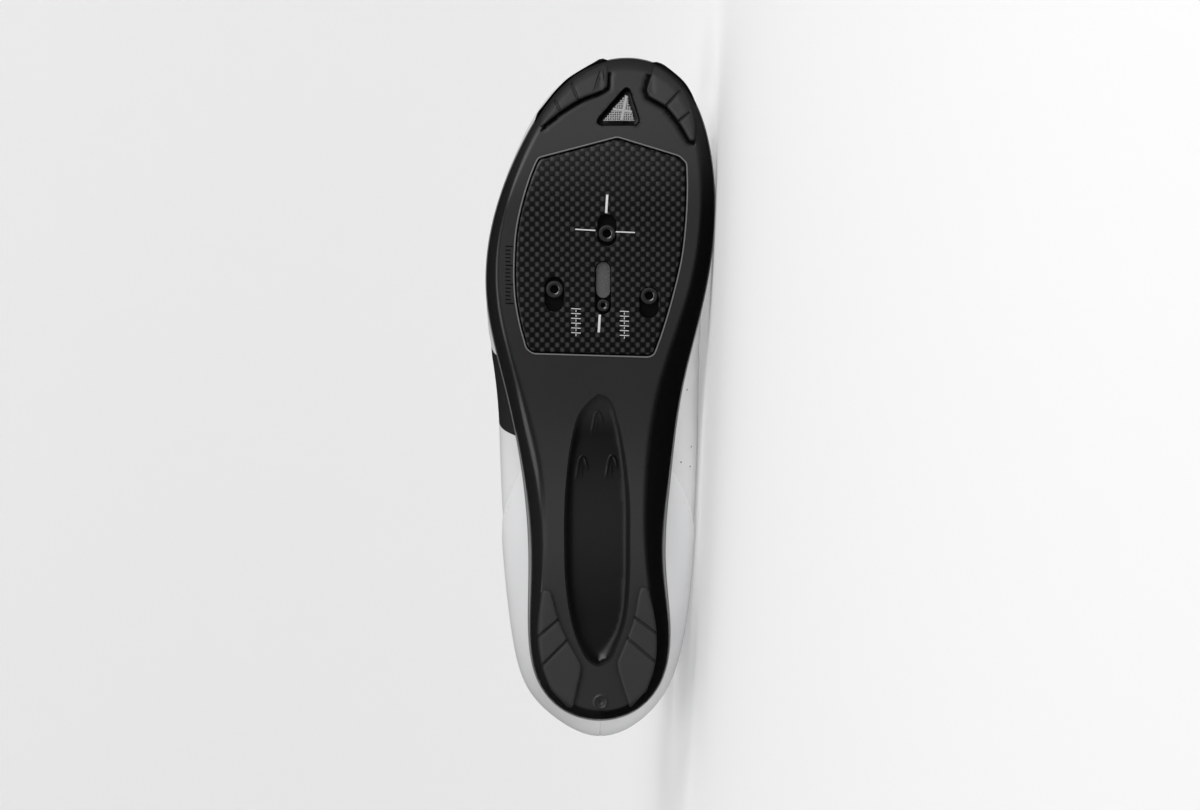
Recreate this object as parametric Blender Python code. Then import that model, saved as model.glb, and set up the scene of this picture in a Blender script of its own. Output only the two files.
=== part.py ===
# A right road cycling shoe that lies on its medial side, sole towards -Y and toe towards +X.
# The shoe's own frame has X from heel to toe, Y towards the medial side and Z up from the heel
# pads. A "turn" goes round the shoe in degrees: 0 at the heel, 180 at the toe, positive on the
# medial side and negative on the lateral side. Metres throughout.

import math
from collections import namedtuple

import bmesh
import bpy
import numpy as np
from mathutils import Matrix, Vector

# Main sizes of the shoe
LENGTH = 0.276            # heel back to toe tip
BALL_WIDTH = 0.095        # across the upper at the ball
COLLAR_HEIGHT = 0.088     # top line at the back of the heel
INSTEP_HEIGHT = 0.108     # ridge over the top of the throat
TOE_HEIGHT = 0.048        # top of the toe box at its front
RIM_HEIGHT = 0.022        # sole rim at the waist, where it is highest but for the toe

# Underside of the sole, above the ground of the heel pads
HEEL_RISE = 0.002
ARCH_RISE = 0.0115
BALL_RISE = 0.0043
TOE_SPRING = 0.021
HEEL_FLAT_END = 0.1812 * LENGTH     # the five places along the shoe where the underside changes
ARCH_TOP = 0.4493 * LENGTH
CLEAT_FLAT_START = 0.6522 * LENGTH
CLEAT_FLAT_END = 0.7754 * LENGTH

# Walls and clearances
GAP = 0.0003              # between touching pieces
SOLE_WALL = 0.0031        # flat top of the sole's rim, on which the upper stands
RIM_BAND = 0.0016         # upright edge under the rim
LIP = 0.0006              # how far the rim stands out past the foot of the upper
BALL_SOLE = 0.0048        # sole thickness at the ball, arch, toe and heel
ARCH_SOLE = 0.0048
TOE_SOLE = 0.0058
HEEL_SOLE = 0.0086
BED_DISH = 0.0016         # rise of the bed towards its edge
BED_MARGIN = 0.0046       # from the rim to the edge of the bed
BED_SHOULDER = 0.0125     # from the rim to where the bed is level
UPPER_WALL = 0.0020
COLLAR_PAD = 0.0028       # added to the wall where the collar is padded
INSOLE = 0.0035

# Carbon plate, inserts and slots
PLATE = 0.0012
PLATE_RECESS = 0.0016
PLATE_POCKET = 0.0016     # depth of the insert pockets below the plate
INSERT_RADIUS = 0.0034
INSERT_BORE = 0.0019
SLOT_HALF = 0.0038
CENTRE_SLOT_HALF = 0.0031
INSERT_HEIGHT = 0.0024
SMALL_INSERT_RADIUS = 0.0024
SMALL_INSERT_BORE = 0.0012
SLOT_COVER = 0.0010
VENT_MESH = 0.0008

# Tread pads
TOE_PAD_PROUD = 0.0022
HEEL_PAD_PROUD = 0.0020
PAD_SEAT = 0.0016         # how deep a pad is let into the sole
PAD_GAP = 0.0009          # between a pad's curved back and its seat
SLIVER = 0.00015          # shortest distance between a facet line and a corner
PAD_CELL = 0.0036         # facet size over the sole's rounded side
GROOVE_DEPTH = 0.0011
GROOVE_WIDTH = 0.0011
GROOVE_OVERRUN = 0.0012   # past the pad at each end of a groove
GROOVE_STATIONS = 5
GROOVE_REACH = 0.004      # how far a groove's cutter stands below the pad's face

# Scoop under arch and heel
SCOOP_DEPTH = 0.0052

# Heel counter, tongue and laces
COUNTER = 0.0006
COUNTER_GAP = 0.0003
TONGUE = 0.0040
TONGUE_GAP = 0.0006
TONGUE_LIFT = 0.009       # how far its top stands up out of the shoe
TONGUE_EDGE = 0.88        # height share of its side edges, 1 at the throat's edge
TONGUE_TAPER = 0.22       # by how much more its top corners are taken in
TONGUE_TAPER_TURN = 88    # where the taper starts
TONGUE_TAPER_TURNS = 18
TONGUE_TURNS = [132, 126, 120, 114, 108, 102, 96, 90, 86, 82, 78, 74, 71]
LACE_WIDTH = 0.0060
LACE_THICK = 0.0012
LACE_GAP = 0.0004
LACE_ROWS = 7
LACE_BACK_TURN = 91.0
LACE_FRONT_TURN = 120.0
EYELET_RADIUS = 0.0021
EYELET_INSET = 0.94       # height share on the upper, 1 at the throat's edge
EDGE_ROUND = 0.0004        # rounding of the sole's rim
CUT_REACH = 0.005          # how far a cutting solid reaches beyond the face that it cuts
PLATE_CELL = 0.006         # longest cell along the plate
SCOOP_WALL = 0.22          # share of the scoop's half width taken by its side wall
SCOOP_EDGE = 0.00002       # keeps the scoop's edge just outside the sole's face
SCOOP_SHARES = [-1.0, -0.92, -0.78, -0.4, 0.0, 0.4, 0.78, 0.92, 1.0]
VENT_SEAT = 0.0016         # depth of the vent's grille under the sole's face
PAD_START_HEIGHT = 0.66    # the collar's padding starts here as a share of the height
PAD_FADE_HEIGHT = 0.3
PAD_END_TURN = 84
PAD_FADE_TURNS = 24
RIM_SWELL = 0.35           # swell of the opening's rim as a share of the wall
TONGUE_CELLS = 5           # cells across each half of the tongue

# Resolution
COLUMNS = 60
TURN_STEP = 360 / COLUMNS
THROAT_TURN = 126         # the throat's front end

# Balance point of the empty shoe, for the way it lies
BALANCE_ALONG = 0.475     # share of the length
BALANCE_UP = 0.275         # share of the instep height

Width = namedtuple("Width", "turn medial lateral")
Height = namedtuple("Height", "turn rim bulge top_medial top_lateral ridge ridge_side")
Level = namedtuple("Level", "start end rows")

# Half widths at each turn as shares of BALL_WIDTH. Start and end are shares of LENGTH.
RIM = Level(0.027, 1.0, [
    Width(0, 0.0, 0.0),
    Width(15, 0.160, 0.162),
    Width(30, 0.269, 0.272),
    Width(45, 0.296, 0.304),
    Width(60, 0.276, 0.302),
    Width(75, 0.300, 0.329),
    Width(90, 0.349, 0.401),
    Width(105, 0.437, 0.479),
    Width(120, 0.486, 0.455),
    Width(135, 0.470, 0.351),
    Width(150, 0.403, 0.221),
    Width(165, 0.281, 0.068),
    Width(180, 0.116, -0.116),
])

BULGE = Level(0.004, 0.997, [
    Width(0, 0.0, 0.0),
    Width(15, 0.146, 0.147),
    Width(30, 0.278, 0.298),
    Width(45, 0.350, 0.366),
    Width(60, 0.378, 0.395),
    Width(75, 0.393, 0.412),
    Width(90, 0.402, 0.432),
    Width(105, 0.434, 0.482),
    Width(120, 0.475, 0.461),
    Width(135, 0.467, 0.369),
    Width(150, 0.409, 0.252),
    Width(165, 0.292, 0.090),
    Width(180, 0.116, -0.116),
])

SIDE = Level(0.003, 0.985, [
    Width(0, 0.0, 0.0),
    Width(15, 0.142, 0.142),
    Width(30, 0.270, 0.286),
    Width(45, 0.342, 0.354),
    Width(60, 0.374, 0.381),
    Width(75, 0.389, 0.384),
    Width(90, 0.394, 0.387),
    Width(105, 0.395, 0.412),
    Width(120, 0.418, 0.399),
    Width(135, 0.422, 0.320),
    Width(150, 0.373, 0.216),
    Width(165, 0.266, 0.066),
    Width(180, 0.116, -0.116),
])

SHOULDER = Level(0.012, 0.964, [
    Width(0, 0.0, 0.0),
    Width(15, 0.132, 0.132),
    Width(30, 0.252, 0.262),
    Width(45, 0.318, 0.324),
    Width(60, 0.350, 0.354),
    Width(75, 0.358, 0.350),
    Width(90, 0.322, 0.306),
    Width(105, 0.304, 0.290),
    Width(120, 0.332, 0.290),
    Width(135, 0.330, 0.220),
    Width(150, 0.296, 0.128),
    Width(165, 0.212, 0.010),
    Width(180, 0.116, -0.116),
])

TOP_LINE = Level(0.024, 0.932, [
    Width(0, 0.0, 0.0),
    Width(15, 0.116, 0.116),
    Width(30, 0.236, 0.240),
    Width(45, 0.296, 0.298),
    Width(60, 0.326, 0.324),
    Width(75, 0.296, 0.290),
    Width(90, 0.194, 0.176),
    Width(105, 0.184, 0.130),
    Width(120, 0.162, 0.058),
    Width(135, 0.138, -0.010),
    Width(150, 0.132, -0.050),
    Width(165, 0.126, -0.088),
    Width(180, 0.112, -0.112),
])

# Rim is a share of RIM_HEIGHT, bulge a share of the way up from rim to top line. Top line and
# ridge are shares of the height that runs from collar to instep to toe, and the ridge lies
# to the medial side of the centre line by a share of BALL_WIDTH.
HEIGHTS = [
    Height(0, 0.86, 0.27, 1.000, 1.000, 1.14, 0.0),
    Height(15, 0.86, 0.27, 0.985, 0.985, 1.13, 0.0),
    Height(30, 0.86, 0.28, 0.925, 0.920, 1.08, 0.0),
    Height(45, 0.89, 0.28, 0.800, 0.785, 1.00, 0.0),
    Height(60, 0.95, 0.20, 0.680, 0.655, 0.96, 0.0),
    Height(75, 1.00, 0.13, 0.735, 0.715, 0.99, 0.003),
    Height(90, 0.93, 0.12, 0.920, 0.915, 1.00, 0.010),
    Height(105, 0.77, 0.09, 0.905, 0.890, 0.945, 0.030),
    Height(120, 0.66, 0.06, 0.860, 0.840, 0.892, 0.052),
    Height(135, 0.70, 0.12, 0.860, 0.845, 0.882, 0.066),
    Height(150, 0.89, 0.22, 0.905, 0.897, 0.917, 0.082),
    Height(165, 1.11, 0.25, 0.965, 0.962, 0.970, 0.100),
    Height(180, 1.23, 0.28, 1.000, 1.000, 1.00, 0.112),
]

# How far the rounded side wall of the sole reaches in from the rim, in shares of BALL_WIDTH
SOLE_SIDE = [
    Width(0, 0.052, 0.052),
    Width(30, 0.052, 0.052),
    Width(45, 0.074, 0.058),
    Width(60, 0.090, 0.077),
    Width(75, 0.116, 0.093),
    Width(90, 0.110, 0.074),
    Width(105, 0.080, 0.061),
    Width(120, 0.069, 0.051),
    Width(135, 0.063, 0.047),
    Width(150, 0.055, 0.047),
    Width(180, 0.060, 0.060),
]

# Height shares of the levels on the upper, from its foot to the ridge
LEVEL_SHARES = [0.0, 0.20, 0.53, 0.80, 1.0, 1.25]
RIDGE = LEVEL_SHARES[-1]
SIDE_RISE = 0.53          # share of the way up from the foot to the top line
SHOULDER_RISE = 0.80


def placed(outline):
    """Plan places in metres from shares of the length and of the ball width."""
    return [(place * LENGTH, side * BALL_WIDTH) for place, side in outline]


# Outlines on the underside: distance from the heel and to the medial side, in shares
PLATE_OUTLINE = placed([
    (0.8790, 0.0737), (0.8514, 0.3326), (0.8420, 0.3611), (0.8047, 0.3632), (0.7609, 0.3579),
    (0.7076, 0.3411), (0.6529, 0.3053), (0.5949, 0.2558), (0.5649, 0.2242), (0.5623, 0.2074),
    (0.5674, -0.2821), (0.5732, -0.3063), (0.6145, -0.3379), (0.6533, -0.3547),
    (0.7196, -0.3547), (0.7511, -0.3453), (0.7971, -0.3137), (0.8359, -0.2747),
    (0.8489, -0.2568),
])
VENT_OUTLINE = placed([
    (0.9536, 0.1084), (0.9536, 0.1211), (0.9065, 0.1642), (0.9007, 0.1547), (0.9007, -0.0021),
    (0.9058, -0.0105),
])
TOE_PAD_LATERAL = placed([
    (0.9928, 0.0126), (0.9855, 0.0347), (0.9565, 0.0316), (0.9529, 0.0179),
    (0.9370, -0.0884), (0.9210, -0.1611), (0.8957, -0.2526), (0.8993, -0.2611),
    (0.9145, -0.2463), (0.9268, -0.2179), (0.9442, -0.1779), (0.9623, -0.1274),
    (0.9772, -0.0632), (0.9880, -0.0084),
])
TOE_PAD_MEDIAL = placed([
    (0.9877, 0.2305), (0.9518, 0.1979), (0.9420, 0.2063), (0.9275, 0.2811),
    (0.9051, 0.3326), (0.8754, 0.3832), (0.8761, 0.4032), (0.8946, 0.4063),
    (0.9181, 0.3968), (0.9420, 0.3726), (0.9587, 0.3432), (0.9714, 0.3053),
    (0.9841, 0.2589),
])
HEEL_PAD_LATERAL = placed([
    (0.2214, -0.2337), (0.2178, -0.2063), (0.1790, -0.1768), (0.1486, -0.1379),
    (0.1123, -0.0800), (0.1014, -0.0779), (0.0482, -0.1137), (0.0460, -0.1347),
    (0.0725, -0.2084), (0.1062, -0.2463), (0.1572, -0.2674), (0.1764, -0.2642),
    (0.2174, -0.2495),
])
HEEL_PAD_MEDIAL = placed([
    (0.2250, 0.1737), (0.2236, 0.2000), (0.2199, 0.2074), (0.1764, 0.2347),
    (0.1522, 0.2421), (0.1112, 0.2347), (0.0725, 0.2000), (0.0471, 0.1295),
    (0.0496, 0.1221), (0.1040, 0.0737), (0.1138, 0.0695), (0.1525, 0.1158),
    (0.1790, 0.1432), (0.2178, 0.1642),
])
# Grooves across the pads: two ends on the outline's inner and outer side
TOE_GROOVES_LATERAL = [placed([(0.9620, -0.1221), (0.9355, -0.0905)]),
                       placed([(0.9348, -0.1905), (0.9196, -0.1663)])]
TOE_GROOVES_MEDIAL = [placed([(0.9500, 0.3389), (0.9272, 0.2800)]),
                      placed([(0.9174, 0.3789), (0.9047, 0.3337)])]
HEEL_GROOVES_LATERAL = [placed([(0.1790, -0.1684), (0.1486, -0.2716)]),
                        placed([(0.1486, -0.1326), (0.1072, -0.2526)])]
HEEL_GROOVES_MEDIAL = [placed([(0.1812, 0.1411), (0.1540, 0.2484)]),
                       placed([(0.1514, 0.1095), (0.1130, 0.2400)])]

# Inserts, and the slots over them: front and rear end and distance to the medial side
Slot = namedtuple("Slot", "front rear side half")


def placed_slot(front, rear, side, half):
    return Slot(front * LENGTH, rear * LENGTH, side * BALL_WIDTH, half)


FRONT_SLOT = placed_slot(0.7681, 0.7217, 0.0295, SLOT_HALF)
REAR_LATERAL_SLOT = placed_slot(0.6768, 0.6261, -0.1937, SLOT_HALF)
REAR_MEDIAL_SLOT = placed_slot(0.6623, 0.6167, 0.2084, SLOT_HALF)
CENTRE_SLOT = placed_slot(0.7000, 0.6225, 0.0137, CENTRE_SLOT_HALF)
INSERT_FRONT, INSERT_REAR_LATERAL, INSERT_REAR_MEDIAL, INSERT_CENTRE = placed([
    (0.74022, 0.02947), (0.65870, -0.19368), (0.64928, 0.20842), (0.63514, 0.01368),
])

# Scoop: rows from heel to arch with the half width, and the share of its depth
Scoop = namedtuple("Scoop", "along half depth")
SCOOP_ROWS = [
    Scoop(0.1058 * LENGTH, 0.0232 * BALL_WIDTH, 0.55),
    Scoop(0.1123 * LENGTH, 0.0442 * BALL_WIDTH, 0.90),
    Scoop(0.1348 * LENGTH, 0.0842 * BALL_WIDTH, 1.0),
    Scoop(0.1739 * LENGTH, 0.1179 * BALL_WIDTH, 1.0),
    Scoop(0.2246 * LENGTH, 0.1358 * BALL_WIDTH, 0.96),
    Scoop(0.2826 * LENGTH, 0.1411 * BALL_WIDTH, 0.88),
    Scoop(0.3442 * LENGTH, 0.1368 * BALL_WIDTH, 0.80),
    Scoop(0.3986 * LENGTH, 0.1179 * BALL_WIDTH, 0.72),
    Scoop(0.4420 * LENGTH, 0.0905 * BALL_WIDTH, 0.62),
    Scoop(0.4819 * LENGTH, 0.0568 * BALL_WIDTH, 0.44),
    Scoop(0.5036 * LENGTH, 0.0253 * BALL_WIDTH, 0.12),
]
SCOOP_SIDE = -0.0063 * BALL_WIDTH     # its centre line, towards the lateral side


def clear_scene():
    for scene_object in list(bpy.data.objects):
        bpy.data.objects.remove(scene_object, do_unlink=True)


def natural_spline(knots, values):
    """Cubic spline through the values, free at both ends."""
    knots = np.array(knots, dtype=float)
    values = np.array(values, dtype=float)
    count = len(knots)
    step = np.diff(knots)
    system = np.zeros((count, count))
    system[0, 0] = 1.0
    system[-1, -1] = 1.0
    right = np.zeros(values.shape)
    for i in range(1, count - 1):
        system[i, i - 1] = step[i - 1]
        system[i, i] = 2 * (step[i - 1] + step[i])
        system[i, i + 1] = step[i]
        rise_after = (values[i + 1] - values[i]) / step[i]
        rise_before = (values[i] - values[i - 1]) / step[i - 1]
        right[i] = 6 * (rise_after - rise_before)
    bend = np.linalg.solve(system, right)

    def at(where):
        i = int(min(max(np.searchsorted(knots, where) - 1, 0), count - 2))
        a = (knots[i + 1] - where) / step[i]
        b = (where - knots[i]) / step[i]
        curve = (a ** 3 - a) * bend[i] + (b ** 3 - b) * bend[i + 1]
        return a * values[i] + b * values[i + 1] + curve * step[i] ** 2 / 6

    return at


def round_spline(turns, medial, lateral):
    """Spline once round the shoe, with the ends wrapped so that it closes smoothly."""
    knots = list(turns)
    values = list(medial)
    for turn, value in zip(turns[1:-1], lateral[1:-1]):
        knots.append(360 - turn)
        values.append(value)
    order = np.argsort(knots)
    knots = [knots[i] for i in order]
    values = [values[i] for i in order]
    wrapped_knots = [k - 360 for k in knots[-4:]] + knots + [k + 360 for k in knots[:5]]
    wrapped_values = values[-4:] + values + values[:5]
    spline = natural_spline(wrapped_knots, wrapped_values)
    return lambda turn: float(spline(turn % 360))


def smooth_step(value):
    value = min(max(value, 0.0), 1.0)
    return value * value * (3 - 2 * value)


def side_spline(rows, scale):
    """Signed distance to the medial side round the shoe."""
    return round_spline(
        [row.turn for row in rows],
        [row.medial * scale for row in rows],
        [-row.lateral * scale for row in rows],
    )


def even_spline(rows, scale):
    """A width that counts inwards on both sides."""
    return round_spline(
        [row.turn for row in rows],
        [row.medial * scale for row in rows],
        [row.lateral * scale for row in rows],
    )


def height_spline(medial_name, lateral_name, scale=1.0):
    return round_spline(
        [row.turn for row in HEIGHTS],
        [getattr(row, medial_name) * scale for row in HEIGHTS],
        [getattr(row, lateral_name) * scale for row in HEIGHTS],
    )


def along(level, turn):
    share = (1 - math.cos(math.radians(turn))) / 2
    return (level.start + (level.end - level.start) * share) * LENGTH


LEVELS = {"rim": RIM, "bulge": BULGE, "side": SIDE, "shoulder": SHOULDER, "top": TOP_LINE}
SIDES = {name: side_spline(level.rows, BALL_WIDTH) for name, level in LEVELS.items()}
rim_height = height_spline("rim", "rim", RIM_HEIGHT)
bulge_rise = height_spline("bulge", "bulge")
top_share = height_spline("top_medial", "top_lateral")
ridge_share = height_spline("ridge", "ridge")
ridge_side = height_spline("ridge_side", "ridge_side", BALL_WIDTH)
sole_side = even_spline(SOLE_SIDE, BALL_WIDTH)
body_height = natural_spline([-90, 0, 90, 180, 270],
                             [INSTEP_HEIGHT, COLLAR_HEIGHT, INSTEP_HEIGHT, TOE_HEIGHT,
                              INSTEP_HEIGHT])


def underside(x):
    """Height of the flat bottom of the sole: level heel, arch, level cleat area, toe spring."""
    if x < HEEL_FLAT_END:
        return HEEL_RISE
    if x < ARCH_TOP:
        share = (x - HEEL_FLAT_END) / (ARCH_TOP - HEEL_FLAT_END)
        return HEEL_RISE + (ARCH_RISE - HEEL_RISE) * smooth_step(share)
    if x < CLEAT_FLAT_START:
        share = (x - ARCH_TOP) / (CLEAT_FLAT_START - ARCH_TOP)
        return ARCH_RISE + (BALL_RISE - ARCH_RISE) * smooth_step(share)
    if x < CLEAT_FLAT_END:
        return BALL_RISE
    share = (x - CLEAT_FLAT_END) / (LENGTH - CLEAT_FLAT_END)
    return BALL_RISE + (TOE_SPRING - BALL_RISE) * share ** 1.8


sole_thickness = natural_spline([0, 0.2 * LENGTH, 0.4 * LENGTH, 0.72 * LENGTH, LENGTH],
                                [HEEL_SOLE, HEEL_SOLE, ARCH_SOLE, BALL_SOLE, TOE_SOLE])


def bed(x):
    return underside(x) + float(sole_thickness(x))


def rim_point(turn, inset=0.0):
    """Plan position on the sole's rim, moved inwards square to it."""
    x = along(RIM, turn)
    y = SIDES["rim"](turn)
    if inset == 0.0:
        return Vector((x, y))
    step = 0.5
    ahead = Vector((along(RIM, turn + step), SIDES["rim"](turn + step)))
    behind = Vector((along(RIM, turn - step), SIDES["rim"](turn - step)))
    direction = (ahead - behind).normalized()
    # heel to toe on the medial side runs clockwise seen from above, so inwards is to its right
    return Vector((x + direction.y * inset, y - direction.x * inset))


def level_points(turn):
    """The upper's control points at one turn, from its foot to the ridge."""
    turn = (turn + 180) % 360 - 180
    foot = rim_point(turn, LIP)
    foot_height = rim_height(turn) + GAP
    height = float(body_height(abs(turn)))
    top = top_share(turn) * height
    rise = top - foot_height
    points = [Vector((foot.x, foot.y, foot_height))]
    shares = {"bulge": bulge_rise(turn), "side": SIDE_RISE, "shoulder": SHOULDER_RISE,
              "top": 1.0}
    for name, share in shares.items():
        points.append(Vector((along(LEVELS[name], turn), SIDES[name](turn),
                              foot_height + rise * share)))
    points.append(Vector((along(TOP_LINE, turn), ridge_side(turn), ridge_share(turn) * height)))
    return points


SECTION_CACHE = {}
SHORTEST_CHORD = 0.0005


def section(turn):
    """Spline over the shoe through one turn and its mirror turn, with its knots."""
    key = round(abs((turn + 180) % 360 - 180), 6)
    if key not in SECTION_CACHE:
        medial = level_points(key)
        lateral = level_points(-key)
        points = medial + lateral[-2::-1]
        knots = [0.0]
        for first, second in zip(points, points[1:]):
            knots.append(knots[-1] + max((second - first).length, SHORTEST_CHORD))
        SECTION_CACHE[key] = (natural_spline(knots, [tuple(p) for p in points]), knots)
    return SECTION_CACHE[key]


def on_lateral(turn):
    return (turn + 180) % 360 - 180 < 0


def upper_point(turn, height):
    """Outer face of the upper; past the ridge the section runs down the other side."""
    spline, knots = section(turn)
    if on_lateral(turn):
        height = 2 * RIDGE - height
    mirrored = height > RIDGE
    share = 2 * RIDGE - height if mirrored else height
    i = 0
    while i < len(LEVEL_SHARES) - 2 and share > LEVEL_SHARES[i + 1]:
        i += 1
    part = (share - LEVEL_SHARES[i]) / (LEVEL_SHARES[i + 1] - LEVEL_SHARES[i])
    if mirrored:
        start, end = knots[-1 - i], knots[-2 - i]
    else:
        start, end = knots[i], knots[i + 1]
    return Vector(spline(start + (end - start) * part))


def upper_normal(turn, height):
    """Outward normal of the upper: up the section, crossed with the way round the shoe."""
    step_turn = 0.4
    step_height = 0.01
    around = upper_point(turn + step_turn, height) - upper_point(turn - step_turn, height)
    low = max(height - step_height, 0.0)
    up = upper_point(turn, height + step_height) - upper_point(turn, low)
    return up.cross(around).normalized()


def wall_thickness(turn, height):
    turn = abs((turn + 180) % 360 - 180)
    high = smooth_step((height - PAD_START_HEIGHT) / PAD_FADE_HEIGHT)
    padded = high * smooth_step((PAD_END_TURN - turn) / PAD_FADE_TURNS)
    return UPPER_WALL + COLLAR_PAD * padded


def upper_offset(turn, height, distance):
    """A face of the upper moved outwards by the distance."""
    return upper_point(turn, height) + upper_normal(turn, height) * distance


def new_material(name, colour, roughness, metallic=0.0, coat=0.0):
    material = bpy.data.materials.new(name)
    material.use_nodes = True
    shader = material.node_tree.nodes["Principled BSDF"]
    shader.inputs["Base Color"].default_value = (*colour, 1.0)
    shader.inputs["Roughness"].default_value = roughness
    shader.inputs["Metallic"].default_value = metallic
    shader.inputs["Coat Weight"].default_value = coat
    material.diffuse_color = (*colour, 1.0)
    return material


def add_object(name, bm, material, parent, smooth_angle=35):
    bmesh.ops.remove_doubles(bm, verts=bm.verts, dist=1e-7)
    bmesh.ops.recalc_face_normals(bm, faces=bm.faces)
    mesh = bpy.data.meshes.new(name)
    bm.to_mesh(mesh)
    bm.free()
    mesh.shade_smooth()
    mesh.set_sharp_from_angle(angle=math.radians(smooth_angle))
    if material is not None:
        mesh.materials.append(material)
    new_object = bpy.data.objects.new(name, mesh)
    bpy.context.scene.collection.objects.link(new_object)
    new_object.parent = parent
    return new_object


def add_cutter(name, bm, parent):
    cutter = add_object(name, bm, None, parent)
    cutter.hide_render = True
    cutter.display_type = "WIRE"
    return cutter


def cut(target, cutter):
    boolean = target.modifiers.new(cutter.name, "BOOLEAN")
    boolean.operation = "DIFFERENCE"
    boolean.solver = "EXACT"
    boolean.object = cutter


def bridge_rings(bm, lower, upper):
    count = len(lower)
    for i in range(count):
        j = (i + 1) % count
        bm.faces.new((lower[i], lower[j], upper[j], upper[i]))


def fill_across(bm, ring, make_point, cells):
    """Fill a ring of columns with straight rows from its medial to its lateral side."""
    half = len(ring) // 2
    rows = [[ring[0]]]
    for j in range(1, half):
        row = [ring[j]]
        for i in range(1, cells):
            place = ring[j].co.lerp(ring[-j].co, i / cells)
            row.append(bm.verts.new(make_point(place)))
        row.append(ring[-j])
        rows.append(row)
    rows.append([ring[half]])
    for first, second in zip(rows, rows[1:]):
        if len(first) == 1:
            for a, b in zip(second, second[1:]):
                bm.faces.new((first[0], b, a))
        elif len(second) == 1:
            for a, b in zip(first, first[1:]):
                bm.faces.new((second[0], a, b))
        else:
            for i in range(cells):
                bm.faces.new((first[i], first[i + 1], second[i + 1], second[i]))


def all_turns():
    return [i * TURN_STEP for i in range(COLUMNS)]


def ring_at(bm, inset, height_at):
    """A ring of vertices round the shoe at an inset from the rim."""
    ring = []
    for turn in all_turns():
        place = rim_point(turn, inset(turn))
        ring.append(bm.verts.new((place.x, place.y, height_at(turn, place.x))))
    return ring


def bed_edge(x):
    heel_cup = 1 + 1.2 * smooth_step((0.3 * LENGTH - x) / (0.25 * LENGTH))
    return bed(x) + BED_DISH * heel_cup


WALL_ROWS = [0.53, 0.21, 0.04, 0.0]


def make_outsole(material, parent):
    bm = bmesh.new()
    rings = [ring_at(bm, sole_side, lambda turn, x: underside(x))]
    for share in WALL_ROWS:
        rings.append(ring_at(bm, lambda turn, share=share: sole_side(turn) * share,
                             lambda turn, x, share=share: wall_height(turn, sole_side(turn) * share)))
    rings.append(ring_at(bm, lambda turn: 0.0, lambda turn, x: rim_height(turn) - EDGE_ROUND))
    rings.append(ring_at(bm, lambda turn: EDGE_ROUND, lambda turn, x: rim_height(turn)))
    rings.append(ring_at(bm, lambda turn: SOLE_WALL, lambda turn, x: rim_height(turn)))
    rings.append(ring_at(bm, lambda turn: BED_MARGIN, lambda turn, x: bed_edge(x)))
    rings.append(ring_at(bm, lambda turn: BED_SHOULDER, lambda turn, x: bed(x)))
    for lower, upper in zip(rings, rings[1:]):
        bridge_rings(bm, lower, upper)
    fill_across(bm, rings[0], lambda p: (p.x, p.y, underside(p.x)), 4)
    fill_across(bm, rings[-1], lambda p: (p.x, p.y, bed(p.x)), 4)
    return add_object("outsole", bm, material, parent)


def make_insole(material, parent):
    bm = bmesh.new()
    edge = BED_MARGIN + 0.0009
    shoulder = BED_SHOULDER + 0.0002
    thin_edge = 0.55 * INSOLE
    under = ring_at(bm, lambda turn: shoulder, lambda turn, x: bed(x) + GAP)
    under_edge = ring_at(bm, lambda turn: edge, lambda turn, x: bed_edge(x) + GAP)
    over_edge = ring_at(bm, lambda turn: edge, lambda turn, x: bed_edge(x) + GAP + thin_edge)
    over = ring_at(bm, lambda turn: shoulder, lambda turn, x: bed(x) + GAP + INSOLE)
    for lower, upper in ((under, under_edge), (under_edge, over_edge), (over_edge, over)):
        bridge_rings(bm, lower, upper)
    fill_across(bm, under, lambda p: (p.x, p.y, bed(p.x) + GAP), 4)
    fill_across(bm, over, lambda p: (p.x, p.y, bed(p.x) + GAP + INSOLE), 4)
    return add_object("insole", bm, material, parent)


UPPER_HEIGHTS = [0.0, 0.07, 0.14, 0.22, 0.33, 0.45, 0.57, 0.69, 0.80, 0.90, 1.0]
CAP_HEIGHTS = [1.08, 1.16]


def upper_skin(bm, distance_at):
    """One face of the upper; gives its foot ring and the loop round its opening."""
    turns = all_turns()
    half = COLUMNS // 2
    throat = round(THROAT_TURN / TURN_STEP)
    grid = []
    for turn in turns:
        column = []
        for height in UPPER_HEIGHTS:
            column.append(bm.verts.new(upper_offset(turn, height, distance_at(turn, height))))
        grid.append(column)
    for j in range(COLUMNS):
        after = (j + 1) % COLUMNS
        for k in range(len(UPPER_HEIGHTS) - 1):
            bm.faces.new((grid[j][k], grid[after][k], grid[after][k + 1], grid[j][k + 1]))
    caps = []
    for j in range(throat, half):
        turn = turns[j]
        row = [grid[j][-1]]
        for height in CAP_HEIGHTS:
            row.append(bm.verts.new(upper_offset(turn, height, distance_at(turn, height))))
        row.append(bm.verts.new(upper_offset(turn, RIDGE, distance_at(turn, RIDGE))))
        for height in reversed(CAP_HEIGHTS):
            row.append(bm.verts.new(upper_offset(-turn, height, distance_at(turn, height))))
        row.append(grid[COLUMNS - j][-1])
        caps.append(row)
    for first, second in zip(caps, caps[1:]):
        for i in range(len(first) - 1):
            bm.faces.new((first[i], first[i + 1], second[i + 1], second[i]))
    for i in range(len(caps[-1]) - 1):
        bm.faces.new((caps[-1][i], caps[-1][i + 1], grid[half][-1]))
    foot = [column[0] for column in grid]
    opening = [grid[j][-1] for j in range(COLUMNS - throat + 1, COLUMNS)]
    opening += [grid[j][-1] for j in range(0, throat)]
    opening += caps[0]
    return foot, opening


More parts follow.
